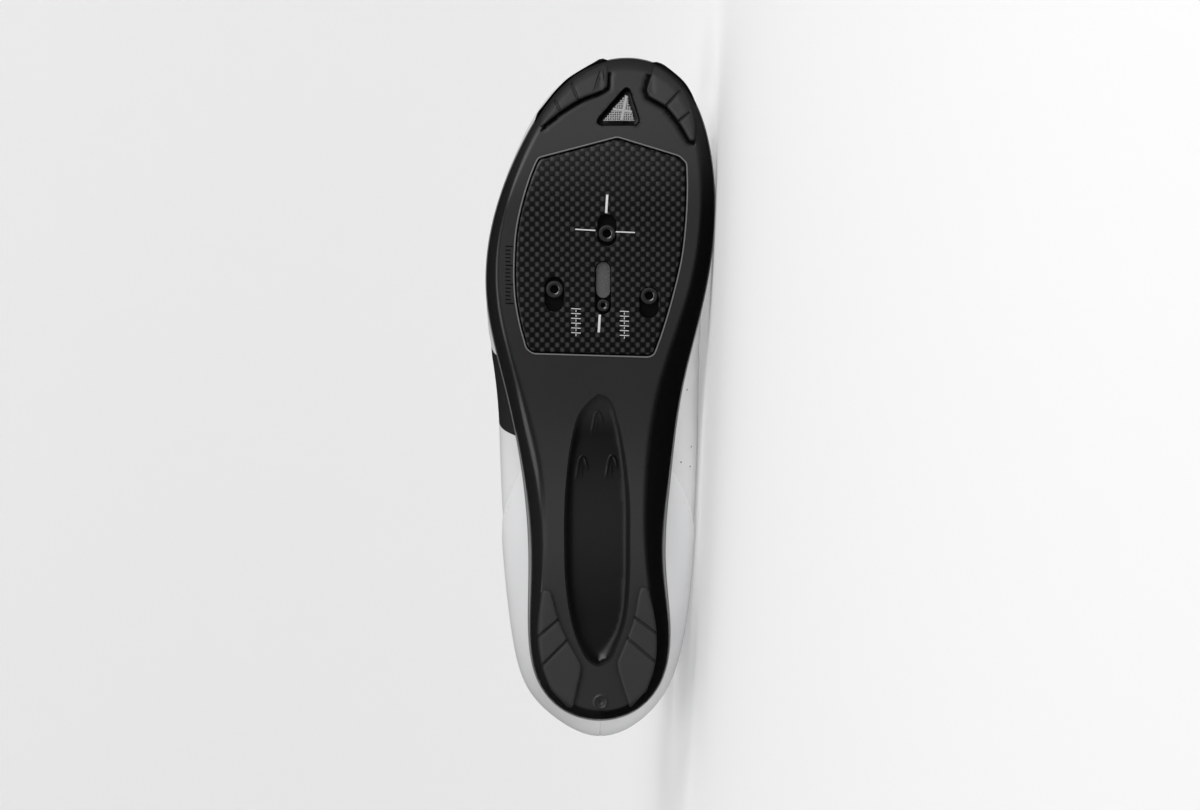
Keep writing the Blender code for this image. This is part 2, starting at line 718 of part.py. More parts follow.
def make_upper(material, parent):
    bm = bmesh.new()
    outer_foot, outer_opening = upper_skin(bm, lambda turn, height: 0.0)
    inner_foot, inner_opening = upper_skin(
        bm, lambda turn, height: -wall_thickness(turn, height))
    bridge_rings(bm, outer_foot, inner_foot)
    middle = []
    for outer, inner in zip(outer_opening, inner_opening):
        place = (outer.co + inner.co) / 2
        lift = RIM_SWELL * (outer.co - inner.co).length
        # the rim of the opening swells away from the shell, towards the opening's middle or up
        neighbours = [edge.other_vert(outer).co for edge in outer.link_edges
                      if edge.other_vert(outer) not in outer_opening]
        away = Vector((0, 0, 1))
        if neighbours:
            away = sum((outer.co - near for near in neighbours), Vector()).normalized()
        middle.append(bm.verts.new(place + away * lift))
    bridge_rings(bm, outer_opening, middle)
    bridge_rings(bm, middle, inner_opening)
    return add_object("upper", bm, material, parent)


def eyelet_turns():
    step = (LACE_FRONT_TURN - LACE_BACK_TURN) / (LACE_ROWS - 1)
    return [LACE_BACK_TURN + step * i for i in range(LACE_ROWS)]


def cut_eyelets(upper, parent):
    bm = bmesh.new()
    for turn in eyelet_turns():
        for side in (turn, -turn):
            centre = upper_offset(side, EYELET_INSET, -UPPER_WALL / 2)
            facing = upper_normal(side, EYELET_INSET).to_track_quat("Z", "Y").to_matrix().to_4x4()
            bmesh.ops.create_cone(bm, cap_ends=True, segments=8, radius1=EYELET_RADIUS,
                                  radius2=EYELET_RADIUS, depth=4 * UPPER_WALL,
                                  matrix=Matrix.Translation(centre) @ facing)
    cutter = add_cutter("eyelet_punch", bm, parent)
    cut(upper, cutter)


COUNTER_BACK = 36         # turn up to which the counter shares the upper's columns
COUNTER_FRONT = 74        # turn that it reaches at the sole
COUNTER_HEIGHTS = UPPER_HEIGHTS[1:9]
COUNTER_MARGIN = 2        # turns kept beyond the shared columns at the collar
COUNTER_LEAN = 0.25
WING_STEPS = 6


def counter_reach(height):
    """Front edge of the heel counter as a turn: far forward at the sole, back at the collar."""
    share = (1 - smooth_step(height)) * (1 - COUNTER_LEAN * height)
    return COUNTER_BACK + COUNTER_MARGIN + (COUNTER_FRONT - COUNTER_BACK) * share


def sheet_faces(bm, grids):
    """Close two like grids of vertices, an inner and an outer one, into a thin solid."""
    for grid in grids:
        for low, high in zip(grid, grid[1:]):
            for i in range(len(low) - 1):
                bm.faces.new((low[i], low[i + 1], high[i + 1], high[i]))
    rims = []
    for grid in grids:
        rims.append(grid[0] + [row[-1] for row in grid[1:]] + grid[-1][-2::-1]
                    + [row[0] for row in grid[-2:0:-1]])
    bridge_rings(bm, rims[0], rims[1])


def make_counter(material, parent):
    bm = bmesh.new()
    back_steps = round(COUNTER_BACK / TURN_STEP)
    grids = []
    for distance in (COUNTER_GAP, COUNTER_GAP + COUNTER):
        grid = []
        for height in COUNTER_HEIGHTS:
            wing = counter_reach(height) - COUNTER_BACK
            medial = [TURN_STEP * i for i in range(1, back_steps + 1)]
            medial += [COUNTER_BACK + wing * i / WING_STEPS for i in range(1, WING_STEPS + 1)]
            turns = [-turn for turn in reversed(medial)] + [0.0] + medial
            grid.append([bm.verts.new(upper_offset(turn, height, distance)) for turn in turns])
        grids.append(grid)
    sheet_faces(bm, grids)
    return add_object("heel_counter", bm, material, parent)


def tongue_edge(turn):
    """Height share of the tongue's side edge, which runs in towards its rounded top."""
    return TONGUE_EDGE + TONGUE_TAPER * smooth_step((TONGUE_TAPER_TURN - turn) / TONGUE_TAPER_TURNS)


def make_tongue(material, parent):
    """The tongue follows the upper's section under the throat and stands up at its top."""
    bm = bmesh.new()
    skins = []
    for extra in (0.0, TONGUE):
        rows = []
        for turn in TONGUE_TURNS:
            low = tongue_edge(turn)
            rise = TONGUE_LIFT * smooth_step((TONGUE_TAPER_TURN - turn) / TONGUE_TAPER_TURNS)
            shares = [low + (RIDGE - low) * i / TONGUE_CELLS for i in range(TONGUE_CELLS + 1)]
            sinks = [-(wall_thickness(turn, share) + TONGUE_GAP + extra) for share in shares]
            lifts = [Vector((0, 0, rise * smooth_step((share - 1) / (RIDGE - 1))))
                     for share in shares]
            row = [upper_offset(turn, share, sink) + lift
                   for share, sink, lift in zip(shares, sinks, lifts)]
            for share, sink, lift in zip(shares[-2::-1], sinks[-2::-1], lifts[-2::-1]):
                row.append(upper_offset(-turn, share, sink) + lift)
            rows.append(row)
        skins.append([[bm.verts.new(point) for point in row] for row in rows])
    sheet_faces(bm, skins)
    return add_object("tongue", bm, material, parent)


def make_lace_bar(number, turn, material, parent):
    """One bar of the lace, from eyelet to eyelet over the throat."""
    bm = bmesh.new()
    steps = 10
    centre_line = []
    for i in range(steps + 1):
        share = EYELET_INSET + (2 * RIDGE - 2 * EYELET_INSET) * i / steps
        if share <= RIDGE:
            base = upper_offset(turn, share, 0.0)
            normal = upper_normal(turn, share)
        else:
            base = upper_offset(-turn, 2 * RIDGE - share, 0.0)
            normal = upper_normal(-turn, 2 * RIDGE - share)
        centre_line.append((base, normal))
    ahead = (upper_point(turn + 1, RIDGE) - upper_point(turn - 1, RIDGE)).normalized()
    rings = []
    for base, normal in centre_line:
        ring = []
        for along_share, up in ((-0.5, 0.0), (0.5, 0.0), (0.5, 0.6), (0.3, 1.0), (-0.3, 1.0),
                                (-0.5, 0.6)):
            ring.append(bm.verts.new(base + ahead * (along_share * LACE_WIDTH)
                                     + normal * (LACE_GAP + up * LACE_THICK)))
        rings.append(ring)
    for first, second in zip(rings, rings[1:]):
        bridge_rings(bm, first, second)
    bm.faces.new(rings[0])
    bm.faces.new(rings[-1])
    return add_object(f"lace_bar_{number}", bm, material, parent)


def grow(outline, distance):
    """An outline moved outwards by the distance, mitred at its corners."""
    count = len(outline)
    area = sum(outline[i][0] * outline[(i + 1) % count][1]
               - outline[(i + 1) % count][0] * outline[i][1] for i in range(count))
    turn_sign = 1 if area > 0 else -1
    grown = []
    for i in range(count):
        here = Vector(outline[i])
        before = (here - Vector(outline[i - 1])).normalized()
        after = (Vector(outline[(i + 1) % count]) - here).normalized()
        normal = Vector((before.y + after.y, -before.x - after.x)) * turn_sign
        normal.normalize()
        side = Vector((before.y, -before.x)) * turn_sign
        grown.append(tuple(here + normal * distance / max(normal.dot(side), 0.5)))
    return grown


def slot_outline(slot, margin=0.0, segments=6):
    """A slot with round ends."""
    radius = slot.half + margin
    points = []
    for centre, start in ((slot.front - slot.half, -90), (slot.rear + slot.half, 90)):
        for i in range(segments + 1):
            swing = math.radians(start + 180 * i / segments)
            points.append((centre + radius * math.cos(swing), slot.side + radius * math.sin(swing)))
    return points


def prism(outline, low_at, high_at, cuts=(), side_cuts=()):
    """A closed prism over an outline, cut along and across at some places, whose lower and
    upper faces follow two height functions."""
    bm = bmesh.new()
    face = bm.faces.new([bm.verts.new((x, y, 0.0)) for x, y in outline])
    extruded = bmesh.ops.extrude_face_region(bm, geom=[face])
    top_verts = [v for v in extruded["geom"] if isinstance(v, bmesh.types.BMVert)]
    bmesh.ops.translate(bm, verts=top_verts, vec=(0, 0, 1.0))
    planes = [((x, 0, 0), (1, 0, 0)) for x in cuts] + [((0, y, 0), (0, 1, 0)) for y in side_cuts]
    for place, normal in planes:
        geometry = list(bm.verts) + list(bm.edges) + list(bm.faces)
        bmesh.ops.bisect_plane(bm, geom=geometry, dist=1e-6, plane_co=place, plane_no=normal)
    if side_cuts:
        bmesh.ops.triangulate(bm, faces=list(bm.faces), quad_method="BEAUTY", ngon_method="BEAUTY")
    for vertex in bm.verts:
        x, y, level = vertex.co
        vertex.co.z = high_at(x, y) if level > 0.5 else low_at(x, y)
    return bm


def spread(start, end, count):
    return [start + (end - start) * i / count for i in range(1, count)]


def curve_cuts(outline, pitch=0.008, axis=0):
    """Places along or across the shoe where a piece over the outline bends with the sole. They
    keep clear of the corners of the outline and of its recess, so that no sliver is cut."""
    low = min(point[axis] for point in outline)
    high = max(point[axis] for point in outline)
    corners = [point[axis] for point in outline + grow(outline, GAP)]
    count = max(1, round((high - low) / pitch))
    places = []
    for place in spread(low, high, count):
        shifts = [SLIVER * step * way for step in range(8) for way in (1, -1)]
        free = [place + shift for shift in shifts
                if all(abs(place + shift - corner) > SLIVER for corner in corners)]
        places.append(free[0] if free else place)
    return places


def nearest_rim(x, y):
    """Turn of the nearest place on the sole's rim, and the distance to it."""
    place = Vector((x, y))
    best = min(range(-180, 180, 4), key=lambda turn: (rim_point(turn) - place).length)
    low = best - 4.0
    high = best + 4.0
    while high - low > 0.05:
        first = low + (high - low) / 3
        second = high - (high - low) / 3
        if (rim_point(first) - place).length < (rim_point(second) - place).length:
            high = second
        else:
            low = first
    turn = (low + high) / 2
    return turn, (rim_point(turn) - place).length


def wall_height(turn, inset):
    """Height of the sole's rounded side wall at a distance in from the rim."""
    reach = sole_side(turn)
    low = underside(rim_point(turn, reach).x)
    high = rim_height(turn) - RIM_BAND
    swing = 1 - min(inset / reach, 1.0)
    return low + (high - low) * (1 - math.sqrt(1 - swing * swing))


def skin_height(x, y):
    """Height of the sole's underside at a plan position, its rounded side included."""
    turn, inset = nearest_rim(x, y)
    if inset >= sole_side(turn):
        return underside(x)
    return wall_height(turn, inset)


def make_plate(material, parent):
    face = PLATE_RECESS - PLATE - GAP
    cuts = curve_cuts(PLATE_OUTLINE, PLATE_CELL) + [CLEAT_FLAT_START, CLEAT_FLAT_END]
    bm = prism(PLATE_OUTLINE, lambda x, y: underside(x) + face,
               lambda x, y: underside(x) + face + PLATE, cuts)
    return add_object("carbon_plate", bm, material, parent)


def slot_cutter(name, slot, depth, parent):
    bm = prism(slot_outline(slot), lambda x, y: BALL_RISE - CUT_REACH,
               lambda x, y: BALL_RISE + depth)
    return add_cutter(name, bm, parent)


def make_ring(name, place, radius, bore, bottom, height, material, parent, segments=16):
    """A threaded insert: a short tube with its bore."""
    bm = bmesh.new()
    rings = []
    for ring_radius, z in ((radius, bottom), (radius, bottom + height),
                           (bore, bottom + height), (bore, bottom)):
        ring = []
        for i in range(segments):
            swing = 2 * math.pi * i / segments
            ring.append(bm.verts.new((place[0] + ring_radius * math.cos(swing),
                                      place[1] + ring_radius * math.sin(swing), z)))
        rings.append(ring)
    for i in range(4):
        bridge_rings(bm, rings[i], rings[(i + 1) % 4])
    return add_object(name, bm, material, parent)


def make_pad(name, outline, proud, material, parent, grooves):
    """A tread pad let into the sole, with grooves across it and a small bevel."""
    def low(x, y):
        return skin_height(x, y) - proud

    def high(x, y):
        return skin_height(x, y) + PAD_SEAT - PAD_GAP

    bm = prism(outline, low, high, curve_cuts(outline), curve_cuts(outline, PAD_CELL, 1))
    pad = add_object(name, bm, material, parent)
    groove_bm = bmesh.new()
    for start, end in grooves:
        across = Vector((end[0] - start[0], end[1] - start[1])).normalized()
        side = Vector((-across.y, across.x)) * GROOVE_WIDTH / 2
        first = Vector(start) - across * GROOVE_OVERRUN
        second = Vector(end) + across * GROOVE_OVERRUN
        rings = []
        for i in range(GROOVE_STATIONS + 1):
            middle = first.lerp(second, i / GROOVE_STATIONS)
            level = skin_height(middle.x, middle.y) - proud
            corners = [(middle + side, level - GROOVE_REACH), (middle - side, level - GROOVE_REACH),
                       (middle - side, level + GROOVE_DEPTH), (middle + side, level + GROOVE_DEPTH)]
            rings.append([groove_bm.verts.new((place.x, place.y, z)) for place, z in corners])
        for ring, following in zip(rings, rings[1:]):
            bridge_rings(groove_bm, ring, following)
        groove_bm.faces.new(rings[0])
        groove_bm.faces.new(rings[-1])
    cutter = add_cutter(name + "_grooves", groove_bm, parent)
    cut(pad, cutter)
    return pad


def cut_seat(outsole, name, outline, parent):
    bm = prism(grow(outline, GAP), lambda x, y: underside(x) - CUT_REACH,
               lambda x, y: skin_height(x, y) + PAD_SEAT, curve_cuts(outline),
               curve_cuts(outline, PAD_CELL, 1))
    cut(outsole, add_cutter(name, bm, parent))


def scoop_ceiling(row, share):
    """Depth of the scoop across its width: steep sides and a gently hollow floor."""
    wall = min((1 - abs(share)) / SCOOP_WALL, 1.0)
    return SCOOP_DEPTH * row.depth * math.sin(wall * math.pi / 2)


def cut_scoop(outsole, parent):
    bm = bmesh.new()
    grid = []
    for row in SCOOP_ROWS:
        ceiling = []
        floor = []
        for share in SCOOP_SHARES:
            y = SCOOP_SIDE + row.half * share
            base = underside(row.along)
            level = base + scoop_ceiling(row, share) - SCOOP_EDGE
            ceiling.append(bm.verts.new((row.along, y, level)))
        for share in (1.0, -1.0):
            y = SCOOP_SIDE + row.half * share
            floor.append(bm.verts.new((row.along, y, underside(row.along) - CUT_REACH)))
        grid.append(ceiling + floor)
    for first, second in zip(grid, grid[1:]):
        bridge_rings(bm, first, second)
    bm.faces.new(grid[0])
    bm.faces.new(grid[-1])
    cut(outsole, add_cutter("scoop_cut", bm, parent))


def make_vent_mesh(material, parent):
    outline = grow(VENT_OUTLINE, -GAP)
    bm = prism(outline, lambda x, y: underside(x) + VENT_SEAT,
               lambda x, y: underside(x) + VENT_SEAT + VENT_MESH, curve_cuts(outline))
    return add_object("toe_vent_mesh", bm, material, parent)


def hull_of(pieces):
    """Convex hull of the outer pieces, in the shoe's frame."""
    bm = bmesh.new()
    for piece in pieces:
        for vertex in piece.data.vertices:
            bm.verts.new(vertex.co)
    bmesh.ops.convex_hull(bm, input=bm.verts)
    return bm


def holds_point(face, point):
    """Whether a triangle holds the foot of the point on it."""
    corners = [vertex.co for vertex in face.verts]
    sides = []
    for first, second in zip(corners, corners[1:] + corners[:1]):
        sides.append(face.normal.dot((second - first).cross(point - first)) > 0)
    return all(sides) or not any(sides)


def lying_matrix(pieces):
    """Place the shoe on the hull face of its medial side that lies under its balance point.
    Of several the one on which the sole stands most upright is taken."""
    bm = hull_of(pieces)
    bm.normal_update()
    balance = Vector((BALANCE_ALONG * LENGTH, 0.0, BALANCE_UP * INSTEP_HEIGHT))
    best = None
    for face in bm.faces:
        normal = face.normal.copy()
        if normal.dot(face.calc_center_median() - balance) < 0:
            normal.negate()
        if normal.y < 0.8 or not holds_point(face, balance):
            continue
        if best is None or abs(normal.z) < abs(best.z):
            best = normal
    bm.free()
    up = -best
    forward = Vector((1, 0, 0))
    forward = (forward - up * forward.dot(up)).normalized()
    left = up.cross(forward)
    turned = Matrix((forward, left, up)).to_4x4()
    corners = [turned @ vertex.co for piece in pieces for vertex in piece.data.vertices]
    low = [min(corner[i] for corner in corners) for i in range(3)]
    high = [max(corner[i] for corner in corners) for i in range(3)]
    shift = Vector((-(low[0] + high[0]) / 2, -(low[1] + high[1]) / 2, -low[2]))
    return Matrix.Translation(shift) @ turned


def build():
    clear_scene()
    frame = bpy.data.objects.new("shoe_frame", None)
    bpy.context.scene.collection.objects.link(frame)

    shell = new_material("sole_shell", (0.012, 0.012, 0.013), 0.28, coat=0.6)
    carbon = new_material("carbon_weave", (0.03, 0.03, 0.032), 0.32, coat=0.8)
    rubber = new_material("pad_rubber", (0.028, 0.028, 0.029), 0.62)
    metal = new_material("insert_metal", (0.05, 0.05, 0.052), 0.35, metallic=0.9)
    cover = new_material("slot_cover_grey", (0.14, 0.14, 0.145), 0.8)
    grille = new_material("vent_grille", (0.42, 0.42, 0.42), 0.6)
    skin = new_material("upper_white", (0.80, 0.80, 0.80), 0.45)
    counter_skin = new_material("counter_white", (0.82, 0.82, 0.82), 0.38)
    lining = new_material("tongue_white", (0.74, 0.74, 0.74), 0.7)
    footbed = new_material("insole_grey", (0.10, 0.10, 0.11), 0.85)
    lace = new_material("lace_white", (0.78, 0.78, 0.78), 0.75)

    outsole = make_outsole(shell, frame)
    insole = make_insole(footbed, frame)
    upper = make_upper(skin, frame)
    counter = make_counter(counter_skin, frame)
    tongue = make_tongue(lining, frame)
    pieces = [outsole, insole, upper, counter, tongue]
    for number, turn in enumerate(eyelet_turns(), start=1):
        pieces.append(make_lace_bar(number, turn, lace, frame))

    plate = make_plate(carbon, frame)
    pads = (
        ("toe_pad_lateral", TOE_PAD_LATERAL, TOE_PAD_PROUD, TOE_GROOVES_LATERAL),
        ("toe_pad_medial", TOE_PAD_MEDIAL, TOE_PAD_PROUD, TOE_GROOVES_MEDIAL),
        ("heel_pad_lateral", HEEL_PAD_LATERAL, HEEL_PAD_PROUD, HEEL_GROOVES_LATERAL),
        ("heel_pad_medial", HEEL_PAD_MEDIAL, HEEL_PAD_PROUD, HEEL_GROOVES_MEDIAL),
    )
    for name, outline, proud, grooves in pads:
        pieces.append(make_pad(name, outline, proud, rubber, frame, grooves))
        cut_seat(outsole, name + "_seat", outline, frame)

    recess = prism(grow(PLATE_OUTLINE, GAP), lambda x, y: underside(x) - CUT_REACH,
                   lambda x, y: underside(x) + PLATE_RECESS,
                   curve_cuts(PLATE_OUTLINE, PLATE_CELL) + [CLEAT_FLAT_START, CLEAT_FLAT_END])
    cut(outsole, add_cutter("plate_recess", recess, frame))
    cut_scoop(outsole, frame)
    vent = prism(VENT_OUTLINE, lambda x, y: underside(x) - CUT_REACH,
                 lambda x, y: bed(x) + CUT_REACH)
    cut(outsole, add_cutter("vent_hole", vent, frame))
    pieces.append(make_vent_mesh(grille, frame))

    pocket_floor = BALL_RISE + PLATE_RECESS + PLATE_POCKET
    inserts = (
        ("insert_front", FRONT_SLOT, INSERT_FRONT),
        ("insert_rear_lateral", REAR_LATERAL_SLOT, INSERT_REAR_LATERAL),
        ("insert_rear_medial", REAR_MEDIAL_SLOT, INSERT_REAR_MEDIAL),
        ("insert_centre", CENTRE_SLOT, INSERT_CENTRE),
    )
    for name, slot, place in inserts:
        cutter = slot_cutter(name + "_slot", slot, PLATE_RECESS + PLATE_POCKET, frame)
        cut(outsole, cutter)
        cut(plate, cutter)
        small = name == "insert_centre"
        radius = SMALL_INSERT_RADIUS if small else INSERT_RADIUS
        bore = SMALL_INSERT_BORE if small else INSERT_BORE
        bottom = pocket_floor - GAP - INSERT_HEIGHT
        pieces.append(make_ring(name, place, radius, bore, bottom, INSERT_HEIGHT, metal, frame))
    cover_slot = Slot(CENTRE_SLOT.front - GAP, INSERT_CENTRE[0] + SMALL_INSERT_RADIUS + 2 * GAP,
                      CENTRE_SLOT.side, CENTRE_SLOT.half - GAP)
    cover_bm = prism(slot_outline(cover_slot), lambda x, y: pocket_floor - GAP - SLOT_COVER,
                     lambda x, y: pocket_floor - GAP)
    pieces.append(add_object("slot_cover", cover_bm, cover, frame))
    pieces.append(plate)
    cut_eyelets(upper, frame)

    frame.matrix_world = lying_matrix(pieces)


build()
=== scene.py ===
import math

import bmesh
import bpy
import numpy as np
from mathutils import Matrix, Vector
from mathutils.geometry import delaunay_2d_cdt
from mathutils.kdtree import KDTree


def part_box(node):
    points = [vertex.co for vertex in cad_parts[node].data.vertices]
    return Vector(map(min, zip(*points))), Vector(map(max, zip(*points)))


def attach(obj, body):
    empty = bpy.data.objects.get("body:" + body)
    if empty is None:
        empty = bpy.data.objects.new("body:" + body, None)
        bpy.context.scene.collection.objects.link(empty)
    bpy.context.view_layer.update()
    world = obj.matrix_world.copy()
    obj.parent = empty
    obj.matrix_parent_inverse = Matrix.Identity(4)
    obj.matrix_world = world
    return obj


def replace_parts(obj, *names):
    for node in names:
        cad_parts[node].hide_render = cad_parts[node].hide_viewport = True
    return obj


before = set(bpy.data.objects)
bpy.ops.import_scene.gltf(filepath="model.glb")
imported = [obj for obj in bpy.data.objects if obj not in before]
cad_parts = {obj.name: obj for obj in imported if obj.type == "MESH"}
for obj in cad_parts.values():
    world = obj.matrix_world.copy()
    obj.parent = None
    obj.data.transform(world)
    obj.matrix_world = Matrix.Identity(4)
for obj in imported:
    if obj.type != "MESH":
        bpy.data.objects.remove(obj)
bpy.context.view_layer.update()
print("frame loaded")

# The shoe's own frame: X from heel to toe, Y to the medial side, Z up from the sole, metres.
shoe = {
    "length": 0.276,
    "ballWidth": 0.095,
    "collarHeight": 0.088,
    "instepHeight": 0.108,
    "toeHeight": 0.048,
    "rimHeight": 0.022,
    "heelRise": 0.002,
    "archRise": 0.0115,
    "ballRise": 0.0043,
    "toeSpring": 0.021,
    "heelFlatEnd": 0.050,
    "archTop": 0.124,
    "cleatFlatStart": 0.180,
    "cleatFlatEnd": 0.214,
    "gap": 0.0003,
    "lip": 0.0006,
    "upperWall": 0.0020,
    "collarPad": 0.0028,
    "padStart": (0.66, 0.3),
    "padEnd": (84, 24),
}

# Rows of turn round the shoe (0 at the heel, 180 at the toe), medial and lateral half width
# as shares of the ball width; start and end of each level are shares of the length.
levels = {
    "rim": (0.027, 1.0, [
        (0, 0.0, 0.0), (15, 0.160, 0.162), (30, 0.269, 0.272), (45, 0.296, 0.304),
        (60, 0.276, 0.302), (75, 0.300, 0.329), (90, 0.349, 0.401), (105, 0.437, 0.479),
        (120, 0.486, 0.455), (135, 0.470, 0.351), (150, 0.403, 0.221), (165, 0.281, 0.068),
        (180, 0.116, -0.116)]),
    "bulge": (0.004, 0.997, [
        (0, 0.0, 0.0), (15, 0.146, 0.147), (30, 0.278, 0.298), (45, 0.350, 0.366),
        (60, 0.378, 0.395), (75, 0.393, 0.412), (90, 0.402, 0.432), (105, 0.434, 0.482),
        (120, 0.475, 0.461), (135, 0.467, 0.369), (150, 0.409, 0.252), (165, 0.292, 0.090),
        (180, 0.116, -0.116)]),
    "side": (0.003, 0.985, [
        (0, 0.0, 0.0), (15, 0.142, 0.142), (30, 0.270, 0.286), (45, 0.342, 0.354),
        (60, 0.374, 0.381), (75, 0.389, 0.384), (90, 0.394, 0.387), (105, 0.395, 0.412),
        (120, 0.418, 0.399), (135, 0.422, 0.320), (150, 0.373, 0.216), (165, 0.266, 0.066),
        (180, 0.116, -0.116)]),
    "shoulder": (0.012, 0.964, [
        (0, 0.0, 0.0), (15, 0.132, 0.132), (30, 0.252, 0.262), (45, 0.318, 0.324),
        (60, 0.350, 0.354), (75, 0.358, 0.350), (90, 0.322, 0.306), (105, 0.304, 0.290),
        (120, 0.332, 0.290), (135, 0.330, 0.220), (150, 0.296, 0.128), (165, 0.212, 0.010),
        (180, 0.116, -0.116)]),
    "top": (0.024, 0.932, [
        (0, 0.0, 0.0), (15, 0.116, 0.116), (30, 0.236, 0.240), (45, 0.296, 0.298),
        (60, 0.326, 0.324), (75, 0.296, 0.290), (90, 0.194, 0.176), (105, 0.184, 0.130),
        (120, 0.162, 0.058), (135, 0.138, -0.010), (150, 0.132, -0.050), (165, 0.126, -0.088),
        (180, 0.112, -0.112)]),
}

# turn, rim, bulge, top medial, top lateral, ridge, ridge to the side
heightRows = [
    (0, 0.86, 0.27, 1.000, 1.000, 1.14, 0.0),
    (15, 0.86, 0.27, 0.985, 0.985, 1.13, 0.0),
    (30, 0.86, 0.28, 0.925, 0.920, 1.08, 0.0),
    (45, 0.89, 0.28, 0.800, 0.785, 1.00, 0.0),
    (60, 0.95, 0.20, 0.680, 0.655, 0.96, 0.0),
    (75, 1.00, 0.13, 0.735, 0.715, 0.99, 0.003),
    (90, 0.93, 0.12, 0.920, 0.915, 1.00, 0.010),
    (105, 0.77, 0.09, 0.905, 0.890, 0.945, 0.030),
    (120, 0.66, 0.06, 0.860, 0.840, 0.892, 0.052),
    (135, 0.70, 0.12, 0.860, 0.845, 0.882, 0.066),
    (150, 0.89, 0.22, 0.905, 0.897, 0.917, 0.082),
    (165, 1.11, 0.25, 0.965, 0.962, 0.970, 0.100),
    (180, 1.23, 0.28, 1.000, 1.000, 1.00, 0.112),
]

# turn, medial and lateral reach of the sole's rounded side wall, shares of the ball width
soleSideRows = [
    (0, 0.052, 0.052), (30, 0.052, 0.052), (45, 0.074, 0.058), (60, 0.090, 0.077),
    (75, 0.116, 0.093), (90, 0.110, 0.074), (105, 0.080, 0.061), (120, 0.069, 0.051),
    (135, 0.063, 0.047), (150, 0.055, 0.047), (180, 0.060, 0.060),
]
levelShares = [0.0, 0.20, 0.53, 0.80, 1.0, 1.25]
ridgeShare = levelShares[-1]
sideRise = 0.53
shoulderRise = 0.80


def naturalSpline(knots, values):
    knots = np.array(knots, dtype=float)
    values = np.array(values, dtype=float)
    count = len(knots)
    step = np.diff(knots)
    system = np.eye(count)
    right = np.zeros(values.shape)
    for i in range(1, count - 1):
        system[i, i - 1:i + 2] = (step[i - 1], 2 * (step[i - 1] + step[i]), step[i])
        right[i] = 6 * ((values[i + 1] - values[i]) / step[i]
                        - (values[i] - values[i - 1]) / step[i - 1])
    bend = np.linalg.solve(system, right)

    def at(where):
        where = np.asarray(where, dtype=float)
        i = np.clip(np.searchsorted(knots, where) - 1, 0, count - 2)
        a = (knots[i + 1] - where) / step[i]
        b = (where - knots[i]) / step[i]
        curveA = (a ** 3 - a) * step[i] ** 2 / 6
        curveB = (b ** 3 - b) * step[i] ** 2 / 6
        if values.ndim > 1:
            a, b, curveA, curveB = (part[..., None] for part in (a, b, curveA, curveB))
        return a * values[i] + b * values[i + 1] + curveA * bend[i] + curveB * bend[i + 1]

    return at


def roundSpline(turns, medial, lateral):
    pairs = list(zip(turns, medial)) + [(360 - t, v) for t, v in zip(turns[1:-1], lateral[1:-1])]
    pairs.sort()
    knots = [p[0] for p in pairs]
    values = [p[1] for p in pairs]
    spline = naturalSpline([k - 360 for k in knots[-4:]] + knots + [k + 360 for k in knots[:5]],
                           values[-4:] + values + values[:5])
    return lambda turn: spline(np.asarray(turn, dtype=float) % 360)


def levelSide(name):
    rows = levels[name][2]
    width = shoe["ballWidth"]
    return roundSpline([r[0] for r in rows], [r[1] * width for r in rows],
                       [-r[2] * width for r in rows])


def heightRound(medial, lateral, scale=1.0):
    return roundSpline([r[0] for r in heightRows], [r[medial] * scale for r in heightRows],
                       [r[lateral] * scale for r in heightRows])


sides = {name: levelSide(name) for name in levels}
rimHeight = heightRound(1, 1, shoe["rimHeight"])
bulgeRise = heightRound(2, 2)
topShare = heightRound(3, 4)
ridgeHeight = heightRound(5, 5)
ridgeSide = heightRound(6, 6, shoe["ballWidth"])
soleReach = roundSpline([r[0] for r in soleSideRows],
                        [r[1] * shoe["ballWidth"] for r in soleSideRows],
                        [r[2] * shoe["ballWidth"] for r in soleSideRows])
bodyHeight = naturalSpline([-90, 0, 90, 180, 270],
                           [shoe["instepHeight"], shoe["collarHeight"], shoe["instepHeight"],
                            shoe["toeHeight"], shoe["instepHeight"]])
soleThickness = naturalSpline([0, 0.2 * shoe["length"], 0.4 * shoe["length"],
                               0.72 * shoe["length"], shoe["length"]],
                              [0.0086, 0.0086, 0.0048, 0.0048, 0.0058])


def smoothStep(value):
    value = np.clip(value, 0.0, 1.0)
    return value * value * (3 - 2 * value)


def signedTurn(turn):
    return (np.asarray(turn, dtype=float) + 180) % 360 - 180


def along(name, turn):
    start, end, _ = levels[name]
    share = (1 - np.cos(np.radians(turn))) / 2
    return (start + (end - start) * share) * shoe["length"]


def underside(x):
    x = np.asarray(x, dtype=float)
    heel, arch, ball = shoe["heelRise"], shoe["archRise"], shoe["ballRise"]
    up = smoothStep((x - shoe["heelFlatEnd"]) / (shoe["archTop"] - shoe["heelFlatEnd"]))
    down = smoothStep((x - shoe["archTop"]) / (shoe["cleatFlatStart"] - shoe["archTop"]))
    toe = np.clip((x - shoe["cleatFlatEnd"]) / (shoe["length"] - shoe["cleatFlatEnd"]), 0, 2)
    return np.where(x < shoe["archTop"], heel + (arch - heel) * up,
                    arch + (ball - arch) * down + (shoe["toeSpring"] - ball) * toe ** 1.8)


def rimPoints(turns, inset=0.0):
    turns = np.asarray(turns, dtype=float)
    place = np.stack([along("rim", turns), sides["rim"](turns)], axis=-1)
    ahead = np.stack([along("rim", turns + 0.5), sides["rim"](turns + 0.5)], axis=-1)
    behind = np.stack([along("rim", turns - 0.5), sides["rim"](turns - 0.5)], axis=-1)
    run = ahead - behind
    run /= np.linalg.norm(run, axis=-1, keepdims=True)
    inwards = np.stack([run[..., 1], -run[..., 0]], axis=-1)
    return place + inwards * np.asarray(inset)[..., None]


